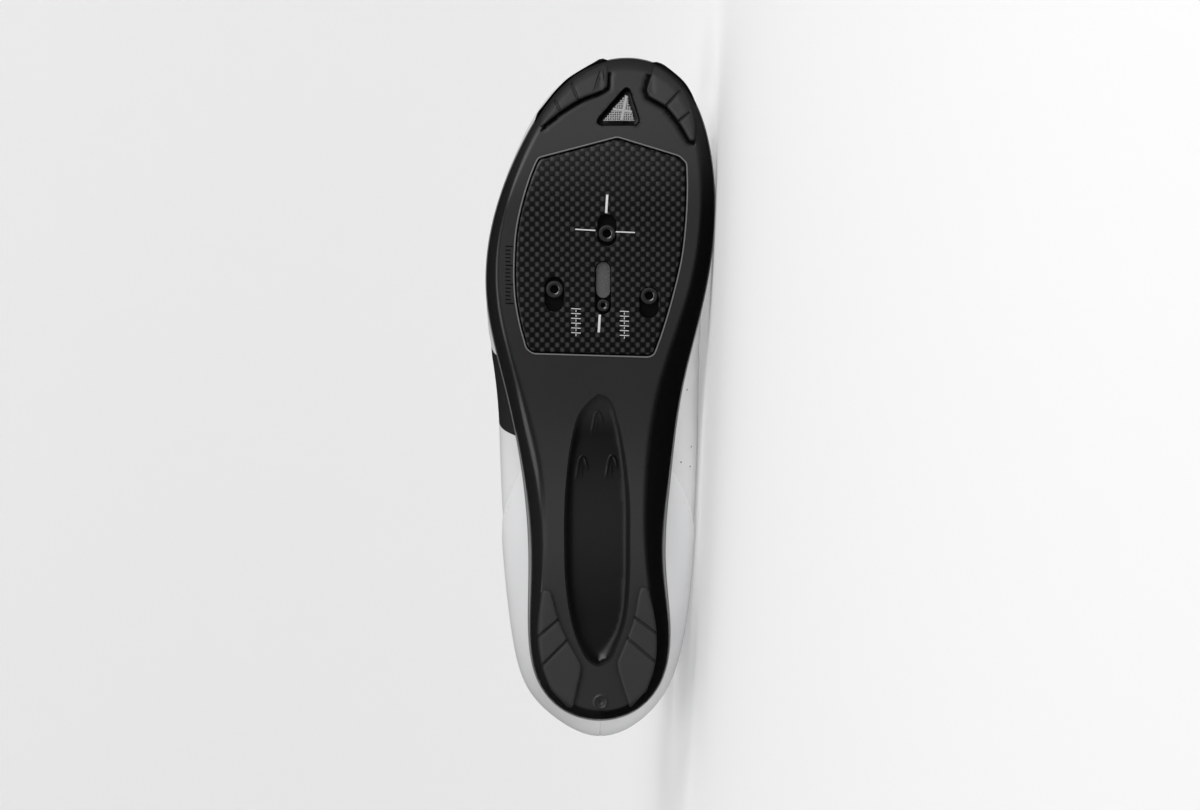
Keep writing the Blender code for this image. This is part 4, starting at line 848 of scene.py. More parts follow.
def makeOutsole():
    shares = [0, 0.004, 0.012, 0.03, 0.06, 0.10, 0.15, 0.21, 0.28, 0.36, 0.45, 0.55, 0.66, 0.78,
              0.9, 1.0, 1.05]
    reach = soleReach(evenTurns)
    loops = [rimPoints(evenTurns, share * reach) for share in shares]
    for distance in (0.00034, 0.00051, 0.0010, 0.0016):
        loops.append(offsetCurve(curves["plate"], distance))
    for distance in (0.0, -0.0004, -0.0012, -0.0024):
        loops.append(offsetCurve(curves["scoop"], distance))
    for distance in (0.0, -0.0006, -0.0009):
        loops.append(offsetCurve(curves["vent"], distance))
    for name in ("toe_pad_lateral", "toe_pad_medial"):
        loops.append(offsetCurve(curves[name], sole["bandWidth"]))
        loops.append(curves[name])
    for curve in slotCurves.values():
        loops.append(curve)
        loops.append(offsetCurve(curve, 0.00012))
    fine = [(x - 0.003, y, 0.0072, 0.00030) for x, y in sole["ridgeNoses"]]
    fine.append((*sole["ring"], 0.0042, 0.00035))
    points, faces, edge = planSheet(loops, 0.0012, fine=fine)
    height, share = skinHeight(points)
    relief, plate, vent, scoop, inBand, band = soleRelief(points, share)
    vertices = [(x, y, z) for (x, y), z in zip(points, height + relief)]
    turn, _ = nearestRim(points)
    # Painted shade, kept per point: on the side walls it is partly the polished wall's own deeper
    # black and partly painted shade, full on the medial wall, about half on the lateral wall but
    # stronger round the heel, and paler towards the toe
    toe = smoothStep((np.abs(signedTurn(turn)) - 118) / 34)
    wall = smoothStep((1.03 - share) / (0.20 + 0.6 * toe))
    sideOf = np.where(signedTurn(turn) > 0, 1.0, 0.55)
    heel = smoothStep((46 - np.abs(signedTurn(turn))) / 30)
    paintedWallShade = wall * (1 - 0.85 * toe) * np.maximum(sideOf, heel * 0.8)
    wallPolish = wall * (1 - 0.6 * toe)
    # painted shade in the scoop's hollow, fading out towards its front end, where the lit dome is
    # left lighter
    hollow = smoothStep(-scoop / 0.0012) * (1 - 0.85 * smoothStep((points[:, 0] - 0.122) / 0.014))
    # painted shade in the recesses: the toe vent and the pocket and gap round the plate
    deep = (vent < 0.0) | (plate < 0.0004)
    # painted shadow in the sloped band beyond the toe pads' edges
    paintedBandShadow = np.where(inBand, 1.0, 0.0) * smoothStep((sole["bandWidth"] - band) / 0.0006)
    paintedShade = np.maximum.reduce([paintedWallShade, hollow * 0.95, deep * 1.0, paintedBandShadow])
    end = 0.05 + 0.9 * smoothStep((0.036 - points[:, 0]) / 0.004)
    polish = np.maximum.reduce([wallPolish, hollow * end, deep * 0.6, paintedBandShadow * 0.7])
    faceSlots = [0] * len(faces)
    flatCount = len(points)
    top = rimHeight(evenTurns)
    bed = bedHeight(rimPoints(evenTurns, 0.0046)[:, 0])
    # The lip's outer faces take the light grey of the second material: a painted highlight along
    # the rim's edge
    lip = [(-0.00012, -0.0014), (-0.00034, -0.0011), (-0.00042, -0.0007), (-0.00034, -0.0003),
           (-0.00005, -0.00005), (0.0006, 0.0)]
    inner = [(0.0028, top - 0.0002), (0.0033, top - 0.0012), (0.0042, bed + 0.0022),
             (0.0046, bed + 0.0012), (0.0120, bed - 0.0004)]
    for inset, level in [(inset, top + drop) for inset, drop in lip] + inner:
        place = rimPoints(evenTurns, np.full(len(evenTurns), inset))
        ring = addRing(vertices, [(x, y, z) for (x, y), z in zip(place, level)])
        faces.extend(ringFaces(edge, ring))
        faceSlots.extend([1 if inset < 0.001 else 0] * len(ring))
        edge = ring
    fillRing(vertices, faces, edge, 6, -0.0004)
    faceSlots += [0] * (len(faces) - len(faceSlots))
    piece = newPiece("outsole.shell", vertices, faces, [soleShell, paintedRimHighlight], faceSlots, 48)
    facesOut(piece)
    # The painted shade and the polish go on as point attributes; the other points get the full
    # value
    for name, values in (("paintedShade", paintedShade), ("polish", polish)):
        layer = piece.data.attributes.new(name, "FLOAT", "POINT")
        filled = np.ones(len(piece.data.vertices))
        filled[:flatCount] = values
        layer.data.foreach_set("value", filled)
    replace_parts(piece, "outsole")


# A raised or let-in plate over the sole's skin: edge gives (distance in, height) pairs
def plateau(name, outline, edge, materials, step=0.0010, extraLoops=(), lines=(), relief=None,
            drop=None, smoothAngle=38):
    loops = [outline] + [offsetCurve(outline, -place) for place, level in edge[1:]]
    points, faces, _ = planSheet(loops + list(extraLoops), step, lines)
    inside = -signedDistance(points, outline)
    height, share = skinHeight(points)
    stands = ramp(inside, [place for place, level in edge], [level for place, level in edge])
    height = height - np.where(stands > 0, stands * smoothStep(share / 0.95 + 0.05), stands)
    if relief is not None:
        height = height + relief(points, inside)
    if drop is not None:
        gone = drop(points)
        faces = [f for f in faces if not gone[list(f)].all()]
    vertices = [(x, y, z) for (x, y), z in zip(points, height)]
    return newPiece(name, vertices, faces, materials, None, smoothAngle)


makeOutsole()
print("outsole made")

# Plain weave of flat tows with a clear coat over it; the lighter tones are painted sheen on the
# tows of one direction, the dark tone is the fibre's own black
weave = {
    "tow": 0.00203,
    "light": (0.043, 0.044, 0.046),
    "dark": (0.0035, 0.0035, 0.0038),
    "relief": 0.00007,
    "bump": 0.6,
    "coat": 0.12,
    "roughness": 0.35,
}


def makeWeaveGroup():
    group, start, end = newGroup(
        "plainWeave",
        [("Pitch", "NodeSocketFloat", 0.002), ("Light", "NodeSocketColor", (1, 1, 1, 1)),
         ("Dark", "NodeSocketColor", (0, 0, 0, 1))],
        [("Colour", "NodeSocketColor"), ("Height", "NodeSocketFloat"),
         ("Roughness", "NodeSocketFloat")])
    place = shoeCoordinates(group)
    apart = addNode(group, "ShaderNodeSeparateXYZ", [(0, place)])

    bows = []
    cells = []
    for name in ("X", "Y"):
        cell = maths(group, "DIVIDE", apart.outputs[name], start.outputs["Pitch"])
        cells.append(maths(group, "FLOOR", cell))
        centred = maths(group, "SUBTRACT", maths(group, "FRACT", cell), 0.5)
        square = maths(group, "POWER", maths(group, "ABSOLUTE", centred), 2.0)
        bows.append(maths(group, "SUBTRACT", 1.0, maths(group, "MULTIPLY", square, 4.0)))
    number = maths(group, "ADD", cells[0], cells[1])
    odd = maths(group, "MODULO", maths(group, "ABSOLUTE", number), 2.0)
    over = maths(group, "MULTIPLY", bows[0], maths(group, "POWER", bows[1], 0.35))
    under = maths(group, "MULTIPLY", bows[1], maths(group, "POWER", bows[0], 0.35))
    height = blended(group, "FLOAT", odd, over, under)
    strand = addNode(group, "ShaderNodeTexNoise", [("Vector", place),
                                                   ("Scale", 1500.0), ("Detail", 1.0)])
    # painted sheen: the tows of one direction turn lighter towards their crowns, standing for the
    # light the fibres reflect; the rest keeps the dark fibre colour
    paintedSheen = maths(group, "MULTIPLY", maths(group, "MULTIPLY", odd, height),
                   maths(group, "ADD", strand.outputs["Fac"], 0.45))
    colour = blended(group, "RGBA", paintedSheen, start.outputs["Dark"], start.outputs["Light"])
    rough = maths(group, "MULTIPLY_ADD", strand.outputs["Fac"], 0.15, 0.28)
    for label, result in (("Colour", colour), ("Roughness", rough), ("Height", height)):
        group.links.new(result, end.inputs[label])
    return group


weaveGroup = makeWeaveGroup()


# Carbon tows under a clear coat
def makeCarbon():
    material, tree, principled = newMaterial("carbonWeave", weave["light"], weave["roughness"],
                                             coat=weave["coat"], specular=0.3)
    settings = {"Pitch": weave["tow"], "Light": (*weave["light"], 1), "Dark": (*weave["dark"], 1)}
    addEffect(tree, principled, weaveGroup, settings, weave["bump"], weave["relief"])
    return material


carbon = makeCarbon()


def insideSlots(points):
    gone = np.zeros(len(points), dtype=bool)
    for curve in slotCurves.values():
        gone |= signedDistance(points, curve) < 0.00004
    return gone


def slotEdge(points, inside):
    relief = np.zeros(len(points))
    for curve in slotCurves.values():
        relief += ramp(signedDistance(points, curve), [0.00002, 0.00016, 0.0006],
                       [0.0014, 0.00012, 0.0])
    return relief


slotLoops = []
for curve in slotCurves.values():
    slotLoops += [curve, offsetCurve(curve, 0.00016), offsetCurve(curve, 0.0006)]
platePiece = plateau("plate.woven", curves["plate"],
                     [(0, -0.0013), (0.0002, -0.00035), (0.0005, -0.00015), (0.0010, -0.0001)],
                     [carbon], step=0.0016, extraLoops=slotLoops, relief=slotEdge,
                     drop=insideSlots)
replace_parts(platePiece, "carbon_plate")


# A closed raised line of round section that follows a plan curve
def tubeAlong(name, curve, levels, radius, material, around=8):
    places = np.column_stack([curve, levels])
    run = np.roll(places, -1, 0) - np.roll(places, 1, 0)
    run /= np.linalg.norm(run, axis=1, keepdims=True)
    side = np.cross(run, (0, 0, 1.0))
    up = np.cross(side, run)
    vertices = []
    rings = [addRing(vertices, points)
             for points in ovalPoints(places, side, up, radius, radius, around)]
    faces = joinRings(rings, closed=True)
    facesOut(newPiece(name, vertices, faces, [material], smoothAngle=60))


# A raised line along the plate's edge in light grey: a painted highlight on the bead
border = offsetCurve(curves["plate"], 0.0008)
tubeAlong("plate.border", border, skinHeight(border)[0] - 0.00012, 0.00030, paintedRimHighlight)
print("plate made")

# Tread pads: how far they stand, their grooves and their cut corner facets
pads = {
    "toe_pad_lateral": {"proud": 0.0022, "facet": [(0.2732, 0.0009), (0.2616, -0.0031),
                                                   (0.2626, 0.0018)],
                        "grooves": [((0.2655, -0.0116), (0.2582, -0.0086)),
                                    ((0.2580, -0.0181), (0.2538, -0.0158))]},
    "toe_pad_medial": {"proud": 0.0022, "facet": [(0.2722, 0.0219), (0.2622, 0.0189),
                                                  (0.2599, 0.0226)],
                       "grooves": [((0.2622, 0.0322), (0.2559, 0.0266)),
                                   ((0.2532, 0.0360), (0.2497, 0.0317))]},
    "heel_pad_lateral": {"proud": 0.0020, "facet": [],
                         "grooves": [((0.0494, -0.0160), (0.0410, -0.0258)),
                                     ((0.0410, -0.0126), (0.0296, -0.0240))]},
    "heel_pad_medial": {"proud": 0.0020, "facet": [],
                        "grooves": [((0.0500, 0.0134), (0.0425, 0.0236)),
                                    ((0.0418, 0.0104), (0.0312, 0.0228))]},
}
groove = {"half": 0.00062, "depth": 0.0011}


def padGrooves(values):
    lines = []
    for start, end in values["grooves"]:
        start, end = np.array(start), np.array(end)
        run = (end - start) / np.linalg.norm(end - start)
        out = np.array([-run[1], run[0]])
        spots = np.linspace(0, 1, 40)[:, None]
        for offset in (-0.9, -0.62, -0.34, 0.34, 0.62, 0.9):
            lines.append(start + (end - start) * spots + out * offset * 0.001)

    def relief(points, inside):
        depth = np.zeros(len(points))
        for start, end in values["grooves"]:
            away = lineDistance(points, start, end)
            depth = np.maximum(depth, ramp(away, [0.00034, groove["half"], 0.0009],
                                           [groove["depth"], 0.0001, 0.0]))
        if values["facet"]:
            facet = signedDistance(points, np.array(values["facet"]))
            depth = np.maximum(depth, np.clip(-facet * 0.55, 0, 0.0014))
        return depth * (inside > 0.0003)

    return lines, relief


for name, values in pads.items():
    lines, relief = padGrooves(values)
    proud = values["proud"]
    extra = [np.array(values["facet"])] if values["facet"] else []
    piece = plateau(name.replace("_", ".") + ".tread", curves[name],
                    [(0, -0.0006), (0.00022, proud - 0.0007), (0.0005, proud - 0.00025),
                     (0.0009, proud - 0.00005), (0.0014, proud)],
                    [padRubber], step=0.0011, lines=lines, relief=relief, extraLoops=extra,
                    smoothAngle=44)
    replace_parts(piece, name)
print("pads made")


def flatSkin(points):
    return skinHeight(np.array(points, dtype=float))[0]


# Rings of (radius, level) pairs round a line along the shoe's Z; the faces from a given ring on
# take the second material, for painted shade
def lathe(name, x, y, profile, materials, paintedShadeFrom, segments=40):
    vertices = []
    ahead, aside = np.array((1.0, 0, 0)), np.array((0, 1.0, 0))
    rings = [addRing(vertices, ovalPoints(np.array((x, y, level)), ahead, aside, radius, radius,
                                          segments)) for radius, level in profile]
    faces = joinRings(rings)
    centre = len(vertices)
    vertices.append((x, y, profile[-1][1]))
    last = rings[-1]
    faces += [(last[k], last[(k + 1) % segments], centre) for k in range(segments)]
    chosen = [1 if i >= paintedShadeFrom * segments else 0 for i in range(len(faces))]
    piece = newPiece(name, vertices, faces, materials, chosen, smoothAngle=32)
    facesOut(piece)
    return piece


def threadedInsert(name, x, y, outer, bore):
    level, depth, pitch = insertShape["level"], insertShape["depth"], insertShape["thread"]
    profile = [(outer * 0.96, level + depth), (outer, level + depth - 0.0002),
               (outer, level + 0.00035), (outer - 0.0003, level + 0.00005),
               (outer - 0.0006, level), (bore + 0.00055, level), (bore + 0.0001, level + 0.0004)]
    count = int((depth - 0.0009) / pitch)
    for i in range(count):
        base = level + 0.0005 + i * pitch
        profile += [(bore - 0.00014, base), (bore + 0.00012, base + pitch * 0.5)]
    profile.append((bore * 0.9, level + depth - 0.00015))
    # the inside of the bore takes the near-black sole colour: painted shade in the hole
    return lathe(name, x, y, profile, [insertMetal, soleGloss], 7)


for name, values in inserts.items():
    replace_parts(threadedInsert(name.replace("_", ".") + ".turned", *values), name)
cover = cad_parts["slot_cover"]
cover.data.materials.clear()
cover.data.materials.append(coverGrey)
print("inserts made")


# Woven grille in the toe vent, with an upright and a cross rib
grille = {
    "pitch": 0.00090,
    "wire": 0.00021,
    "swing": 0.00018,
    "level": 0.0013,
    "inset": 0.0024,
    "ribs": [((0.2612, 0.0110), (0.2496, 0.0086), 0.00055),
             ((0.2548, 0.0052), (0.2536, 0.0132), 0.00045)],
}


def ventGrille():
    outline = offsetCurve(curves["vent"], -grille["inset"])
    low, high = outline.min(0), outline.max(0)
    vertices = []
    faces = []

    def addStrand(places, radius):
        places = np.array(places)
        rows = []
        for i in range(len(places)):
            run = places[min(i + 1, len(places) - 1)] - places[max(i - 1, 0)]
            run = run / max(np.linalg.norm(run), 1e-9)
            side = np.cross(run, (0, 0, 1))
            rows.append(addRing(vertices, ovalPoints(places[i], side, np.cross(side, run),
                                                     radius * 1.25, radius * 0.8, 6)))
        faces.extend(joinRings(rows))

    pitch = grille["pitch"]
    for axis in (0, 1):
        fixedPlaces = np.arange(low[1 - axis] + pitch / 2, high[1 - axis], pitch)
        for number, fixed in enumerate(fixedPlaces):
            travel = np.arange(low[axis], high[axis], pitch / 5)
            spots = np.zeros((len(travel), 2))
            spots[:, axis] = travel
            spots[:, 1 - axis] = fixed
            keep = signedDistance(spots, outline) < 0
            if keep.sum() < 4:
                continue
            spots = spots[keep]
            phase = math.pi * (number + axis)
            wave = np.sin((spots[:, axis] - low[axis]) / pitch * math.pi + phase)
            level = flatSkin(spots) + grille["level"] + wave * grille["swing"]
            addStrand(np.column_stack([spots, level]), grille["wire"])
    for start, end, radius in grille["ribs"]:
        spots = np.linspace(start, end, 60)
        spots = spots[signedDistance(spots, outline) < 0.0001]
        addStrand(np.column_stack([spots, flatSkin(spots) + grille["level"] - 0.0004]), radius)
    piece = newPiece("vent.grille", vertices, faces, [grilleGrey], smoothAngle=60)
    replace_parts(piece, "toe_vent_mesh")


ventGrille()
print("vent made")


# How the picture sees the sole: metres a pixel, the toe's and the middle's places, the camera
picture = {"scale": 0.0004027, "toe": 0.2982, "middle": 457, "aim": 0.1351, "level": 0.004,
           "distance": 2.5}


def placeOf(x, y):
    return (picture["toe"] - picture["scale"] * y,
            (x - picture["middle"]) * picture["scale"])


# Thin strips between pairs of picture places, each (x1, y1, x2, y2, width)
def addStrips(name, strips, level, tall, material):
    vertices = []
    faces = []
    for x1, y1, x2, y2, width in strips:
        start = np.array(placeOf(x1, y1))
        end = np.array(placeOf(x2, y2))
        run = (end - start) / np.linalg.norm(end - start)
        out = np.array([-run[1], run[0]]) * width / 2
        spots = [start + out, end + out, end - out, start - out]
        heights = flatSkin(spots)
        middle = sum(spots) / 4
        rings = []
        for lift, inset in ((0.00006, 1.0), (-tall, 0.9)):
            places = [middle + (spot - middle) * inset for spot in spots]
            rings.append(addRing(vertices, [(x, y, z + level + lift)
                                            for (x, y), z in zip(places, heights)]))
        faces.append(tuple(rings[1]))
        faces += joinRings(rings)
    facesOut(newPiece(name, vertices, faces, [material], smoothAngle=30))


# Printed alignment marks on the plate and raised ruler ticks at the sole's outer edge
marks = [(464.3, 194, 463.1, 213, 0.0010), (456.8, 314.4, 455.7, 332.6, 0.0010),
         (432, 229, 452.7, 230.2, 0.0005), (472.9, 231.5, 492.2, 232.3, 0.0005)]
for left, top, right in ((428, 308.4, 438), (476.7, 311, 486.2)):
    for tick in range(6):
        y = top + tick * 4.81
        marks.append((left, y, right, y + 0.5, 0.00032))
    for dot in range(6):
        y = top + 1.2 + dot * 4.81
        middle = (left + right) / 2
        marks.append((middle, y, middle - 0.1, y + 2.4, 0.0003))
addStrips("plate.marks", marks, 0.0001, 0.00014, printInk)
ticks = []
for tick in range(16):
    y = 246 + tick * 3.8
    reachIn = 370.6 if tick % 5 == 0 else 367.5
    ticks.append((362 + 0.02 * tick, y, reachIn, y + 0.3, 0.0004))
addStrips("sole.ruler", ticks, 0.0, 0.00022, soleGloss)
print("marks made")


# Upper: one skin with a wall, its throat and collar open, closed over the toe
upper = {
    "edgeStart": 106,
    "edgeEnd": 128,
    "columns": 46,
    "rimSteps": 6,
    "rimSwell": 0.8,
    "bandStart": 0.1130,
    "bandWidth": 0.0330,
    "bandLean": 0.42,
    "bandTop": 0.062,
    "bandEdge": -0.004,
    "pinholes": [(550.4, 370.4), (544.8, 388.9), (548.6, 446.7), (537.4, 462.8), (547.5, 465.7),
                 (536.8, 481.1)],
}

# Soft creases: side, turn, height share, lean in degrees, length, width in metres, depth
creases = [
    (1, 118, 0.86, 12, 0.030, 0.0042, 0.0006), (1, 112, 0.62, 20, 0.026, 0.0038, 0.0004),
    (-1, 119, 0.88, -10, 0.030, 0.0042, 0.0006), (-1, 112, 0.64, -18, 0.026, 0.0038, 0.0004),
    (1, 62, 0.70, 70, 0.022, 0.0045, 0.0005), (-1, 62, 0.70, -70, 0.022, 0.0045, 0.0005),
    (1, 74, 0.52, 55, 0.024, 0.0050, 0.0004), (-1, 74, 0.50, -58, 0.024, 0.0050, 0.0004),
    (1, 130, 1.18, 0, 0.034, 0.0046, 0.0005), (-1, 130, 1.18, 0, 0.034, 0.0046, 0.0005),
    (1, 100, 0.34, 8, 0.040, 0.0060, 0.0003), (-1, 101, 0.36, -8, 0.038, 0.0060, 0.0003),
]


def throatEdge(turn):
    start, end = upper["edgeStart"], upper["edgeEnd"]
    part = np.clip((np.abs(turn) - start) / (end - start), 0, 1)
    return 1 + (ridgeShare - 1) * (1 - np.sqrt(1 - part * part))


upperTurns = np.unique(np.round(np.concatenate([
    np.arange(0, 8, 0.5), np.arange(8, 100, 1.0), np.arange(100, 130, 0.5),
    np.arange(130, 170, 1.0), np.linspace(170, 180, 16)]), 4))


# Points and normals of the upper's skin, each row's shares scaled to its throat edge
def skinRows(turns, shares, sign, outwards=0.0):
    places = []
    normals = []
    for turn in turns:
        heights = shares * float(throatEdge(turn))
        places.append(upperRow(turn * sign, heights))
        normals.append(upperNormals([turn * sign], heights)[0])
    places, normals = np.array(places), np.array(normals)
    return places + normals * outwards, normals


def creaseDepth(places, sign):
    depth = np.zeros(places.shape[:2])
    for side, turn, height, lean, length, width, deep in creases:
        if side != sign:
            continue
        centre = upperRow(turn * side, [height])[0]
        flat = upperRow((turn + 2) * side, [height])[0] - centre
        flat /= np.linalg.norm(flat)
        up = upperRow(turn * side, [height + 0.02])[0] - centre
        up -= flat * (up @ flat)
        up /= np.linalg.norm(up)
        a = math.radians(lean)
        run = up * math.cos(a) + flat * math.sin(a)
        out = flat * math.cos(a) - up * math.sin(a)
        away = places - centre
        u = (away @ run) / (length / 2)
        v = (away @ out) / (width / 2) + 0.35 * u * u
        near = np.exp(-(np.linalg.norm(away, axis=-1) / length) ** 4)
        fold = np.exp(-v * v) - 0.45 * np.exp(-((np.abs(v) - 1.9) ** 2))
        depth += deep * np.exp(-u * u) * near * fold
    return depth


def makeUpper():
    even = np.linspace(0, 1, upper["columns"])
    quarter = math.pi / 2 * 0.999
    shares = 0.55 * even + 0.45 * np.sin(even * quarter) / math.sin(quarter)
    rows = len(upperTurns)
    columns = len(shares)
    closedFrom = int(np.argmax(upperTurns >= upper["edgeEnd"]))
    vertices = []
    faces = []
    faceSlots = []
    bases = {}
    grids = {}
    for layer in (0, 1):
        for sign in (1, -1):
            places, normals = skinRows(upperTurns, shares, sign)
            inwards = creaseDepth(places, sign)
            if layer:
                walls = np.array([wallThickness(np.array([t]), shares * float(throatEdge(t)))[0]
                                  for t in upperTurns])
                inwards = inwards + walls
            points = places - normals * inwards[..., None]
            bases[layer, sign] = len(vertices)
            grids[layer, sign] = (points, normals)
            vertices.extend(points.reshape(-1, 3))

    def index(layer, sign, i, j):
        if sign < 0 and (i == 0 or i == rows - 1 or (j == columns - 1 and i >= closedFrom)):
            sign = 1
        return bases[layer, sign] + i * columns + j

    for layer in (0, 1):
        for sign in (1, -1):
            for i in range(rows - 1):
                for j in range(columns - 1):
                    face = (index(layer, sign, i, j), index(layer, sign, i + 1, j),
                            index(layer, sign, i + 1, j + 1), index(layer, sign, i, j + 1))
                    corners = tuple(dict.fromkeys(face))
                    if len(corners) > 2:
                        faces.append(corners)
                        faceSlots.append(layer)
    bottom = [(1, i, 0) for i in range(rows)] + [(-1, i, 0) for i in range(rows - 2, 0, -1)]
    faces += ringFaces(*([index(layer, *spot) for spot in bottom] for layer in (0, 1)))
    faceSlots += [0] * len(bottom)
    last = columns - 1
    top = [(1, i, last) for i in range(closedFrom + 1)]
    top += [(-1, i, last) for i in range(closedFrom - 1, 0, -1)]
    outward, inward = ([index(layer, *spot) for spot in top] for layer in (0, 1))
    leads = []
    for sign, i, j in top:
        lead = grids[0, sign][0][i, j] - grids[0, sign][0][i, j - 2]
        leads.append(lead / max(np.linalg.norm(lead), 1e-9))
    leads = np.array(leads)
    for _ in range(6):
        leads = 0.5 * leads + 0.25 * (np.roll(leads, 1, 0) + np.roll(leads, -1, 0))
    rim = [outward]
    steps = upper["rimSteps"]
    for step in range(1, steps):
        angle = math.pi * step / steps
        points = []
        for a, b, lead in zip(outward, inward, leads):
            p, q = np.array(vertices[a]), np.array(vertices[b])
            radius = np.linalg.norm(p - q) / 2
            points.append((p + q) / 2 + (p - q) / 2 * math.cos(angle)
                          + lead * radius * math.sin(angle) * upper["rimSwell"])
        rim.append(addRing(vertices, points))
    faces += joinRings(rim + [inward])
    faceSlots += [0] * len(top) * (steps - 2) + [1] * len(top) * 2
    piece = newPiece("upper.skin", vertices, faces, [upperSkin, liningCloth], faceSlots, 55)
    facesOut(piece)
    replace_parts(piece, "upper")


# The white skin: fine grain, a soft coat and a dark leaning colour block
def makeUpperSkin():
    values = materialSettings["upper"]
    material, tree, principled = newMaterial("upperSkin", values["colour"], values["roughness"],
                                             coat=0.12)
    grain = addGrain(tree, principled, 1500, 0.10, spread=0.10, tone=0.035, distance=0.00006)
    apart = addNode(tree, "ShaderNodeSeparateXYZ", [(0, shoeCoordinates(tree))])
    leaned = maths(tree, "MULTIPLY_ADD", apart.outputs["Z"], -upper["bandLean"],
                   apart.outputs["X"])
    mask = 1.0
    for operation, value, limit in (
            ("GREATER_THAN", leaned, upper["bandStart"]),
            ("LESS_THAN", leaned, upper["bandStart"] + upper["bandWidth"]),
            ("LESS_THAN", apart.outputs["Y"], upper["bandEdge"]),
            ("LESS_THAN", apart.outputs["Z"], upper["bandTop"])):
        mask = maths(tree, "MULTIPLY", mask, maths(tree, operation, value, limit))
    skin = blended(tree, "RGBA", mask, (*values["colour"], 1),
                   (*materialSettings["band"]["colour"], 1))
    tree.links.new(skin, grain.inputs["Colour"])
    return material


upperSkin = makeUpperSkin()
makeUpper()
print("upper made")


# Heel overlay: how far round it reaches, top to bottom in degrees, and its edge and seam
overlay = {"reachTop": 38, "reachBelow": 38, "lean": 0.25, "top": 0.82, "thick": 0.0008,
           "lift": 0.00015, "seam": 0.0004, "seamHalf": 0.00025}


def overlayReach(height):
    more = (1 - smoothStep(height)) * (1 - overlay["lean"] * height)
    return overlay["reachTop"] + overlay["reachBelow"] * more


# The heel overlay: a thin layer on the upper with a soft edge and a seam up the heel
def makeCounter():
    heights = np.linspace(0.0, overlay["top"], 58)
    parts = np.unique(np.concatenate([np.linspace(-1, 1, 141), np.linspace(-0.05, 0.05, 31),
                                      np.linspace(0.97, 1, 7), np.linspace(-1, -0.97, 7)]))
    vertices = []
    columns = len(parts)
    for height in heights:
        reach = float(overlayReach(height))
        for part in parts:
            turn = part * reach
            place = upperRow(turn, [height])[0]
            normal = upperNormals([turn], [height])[0, 0]
            edge = min(1.0, (1 - abs(part)) / 0.022, (heights[-1] - height) / 0.02 + 0.05)
            seam = overlay["seam"] * math.exp(-(place[1] / overlay["seamHalf"]) ** 2)
            rounded = math.sqrt(max(0.0, 1 - (1 - max(edge, 0)) ** 2))
            out = overlay["lift"] + overlay["thick"] * rounded - seam
            vertices.append(place + normal * out)
    faces = gridFaces(len(heights), columns, flip=True)
    piece = newPiece("heel.overlay", vertices, faces, [counterWhite], smoothAngle=60)
    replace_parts(piece, "heel_counter")


makeCounter()


stitch = {"pitch": 0.0024, "length": 0.74, "half": 0.00042, "tall": 0.00022,
          "shape": [(0, 0.35), (0.18, 0.9), (0.5, 1.0), (0.82, 0.9), (1, 0.35)]}


# Short rounded stitches along a row of places on a surface
def stitchRow(name, spots, normals, material):
    spots, normals = np.array(spots), np.array(normals)
    run = np.concatenate([[0], np.cumsum(np.linalg.norm(np.diff(spots, axis=0), axis=1))])
    vertices = []
    faces = []
    pitch, half, tall = stitch["pitch"], stitch["half"], stitch["tall"]

    def between(at, values):
        return np.array([np.interp(at, run, values[:, k]) for k in range(3)])

    for start in np.arange(pitch * 0.5, run[-1] - pitch, pitch):
        rows = []
        for share, size in stitch["shape"]:
            at = start + pitch * stitch["length"] * share
            place = between(at, spots)
            ahead = between(at + 0.0002, spots) - place
            ahead /= max(np.linalg.norm(ahead), 1e-9)
            normal = between(at, normals)
            rows.append(addRing(vertices, ovalPoints(place + normal * tall * 0.3,
                                                     np.cross(normal, ahead), normal,
                                                     half * size, tall * size, 6)))
        faces += joinRings(rows) + [tuple(rows[0]), tuple(reversed(rows[-1]))]
    newPiece(name, vertices, faces, [material], smoothAngle=70)


def rowOnUpper(places, out):
    spots = []
    normals = []
    for turn, height in places:
        normal = upperNormals([turn], [height])[0, 0]
        spots.append(upperRow(turn, [height])[0] + normal * out)
        normals.append(normal)
    return spots, normals


for sign, label in ((1, "medial"), (-1, "lateral")):
    edge = [(sign * (float(overlayReach(h)) - 2.2), h) for h in np.linspace(0.1, 0.8, 60)]
    spots, normals = rowOnUpper(edge, 0.00085)
    stitchRow("overlay.stitch." + label, spots, normals, counterWhite)
    throat = [(sign * t, float(throatEdge(t)) - 0.035) for t in np.linspace(60, 124, 90)]
    spots, normals = rowOnUpper(throat, 0.00005)
    stitchRow("throat.stitch." + label, spots, normals, laceCloth)
print("overlay and stitches made")


# Tongue: its turns, its edge under the throat, its free end and its padding
tongue = {"back": 71, "front": 130, "edge": 0.88, "narrow": 0.22, "rise": 0.009, "freeTurn": 88,
          "freeTurns": 18, "thick": 0.0034, "gap": 0.0006, "quilt": 0.0004, "quilts": 14}


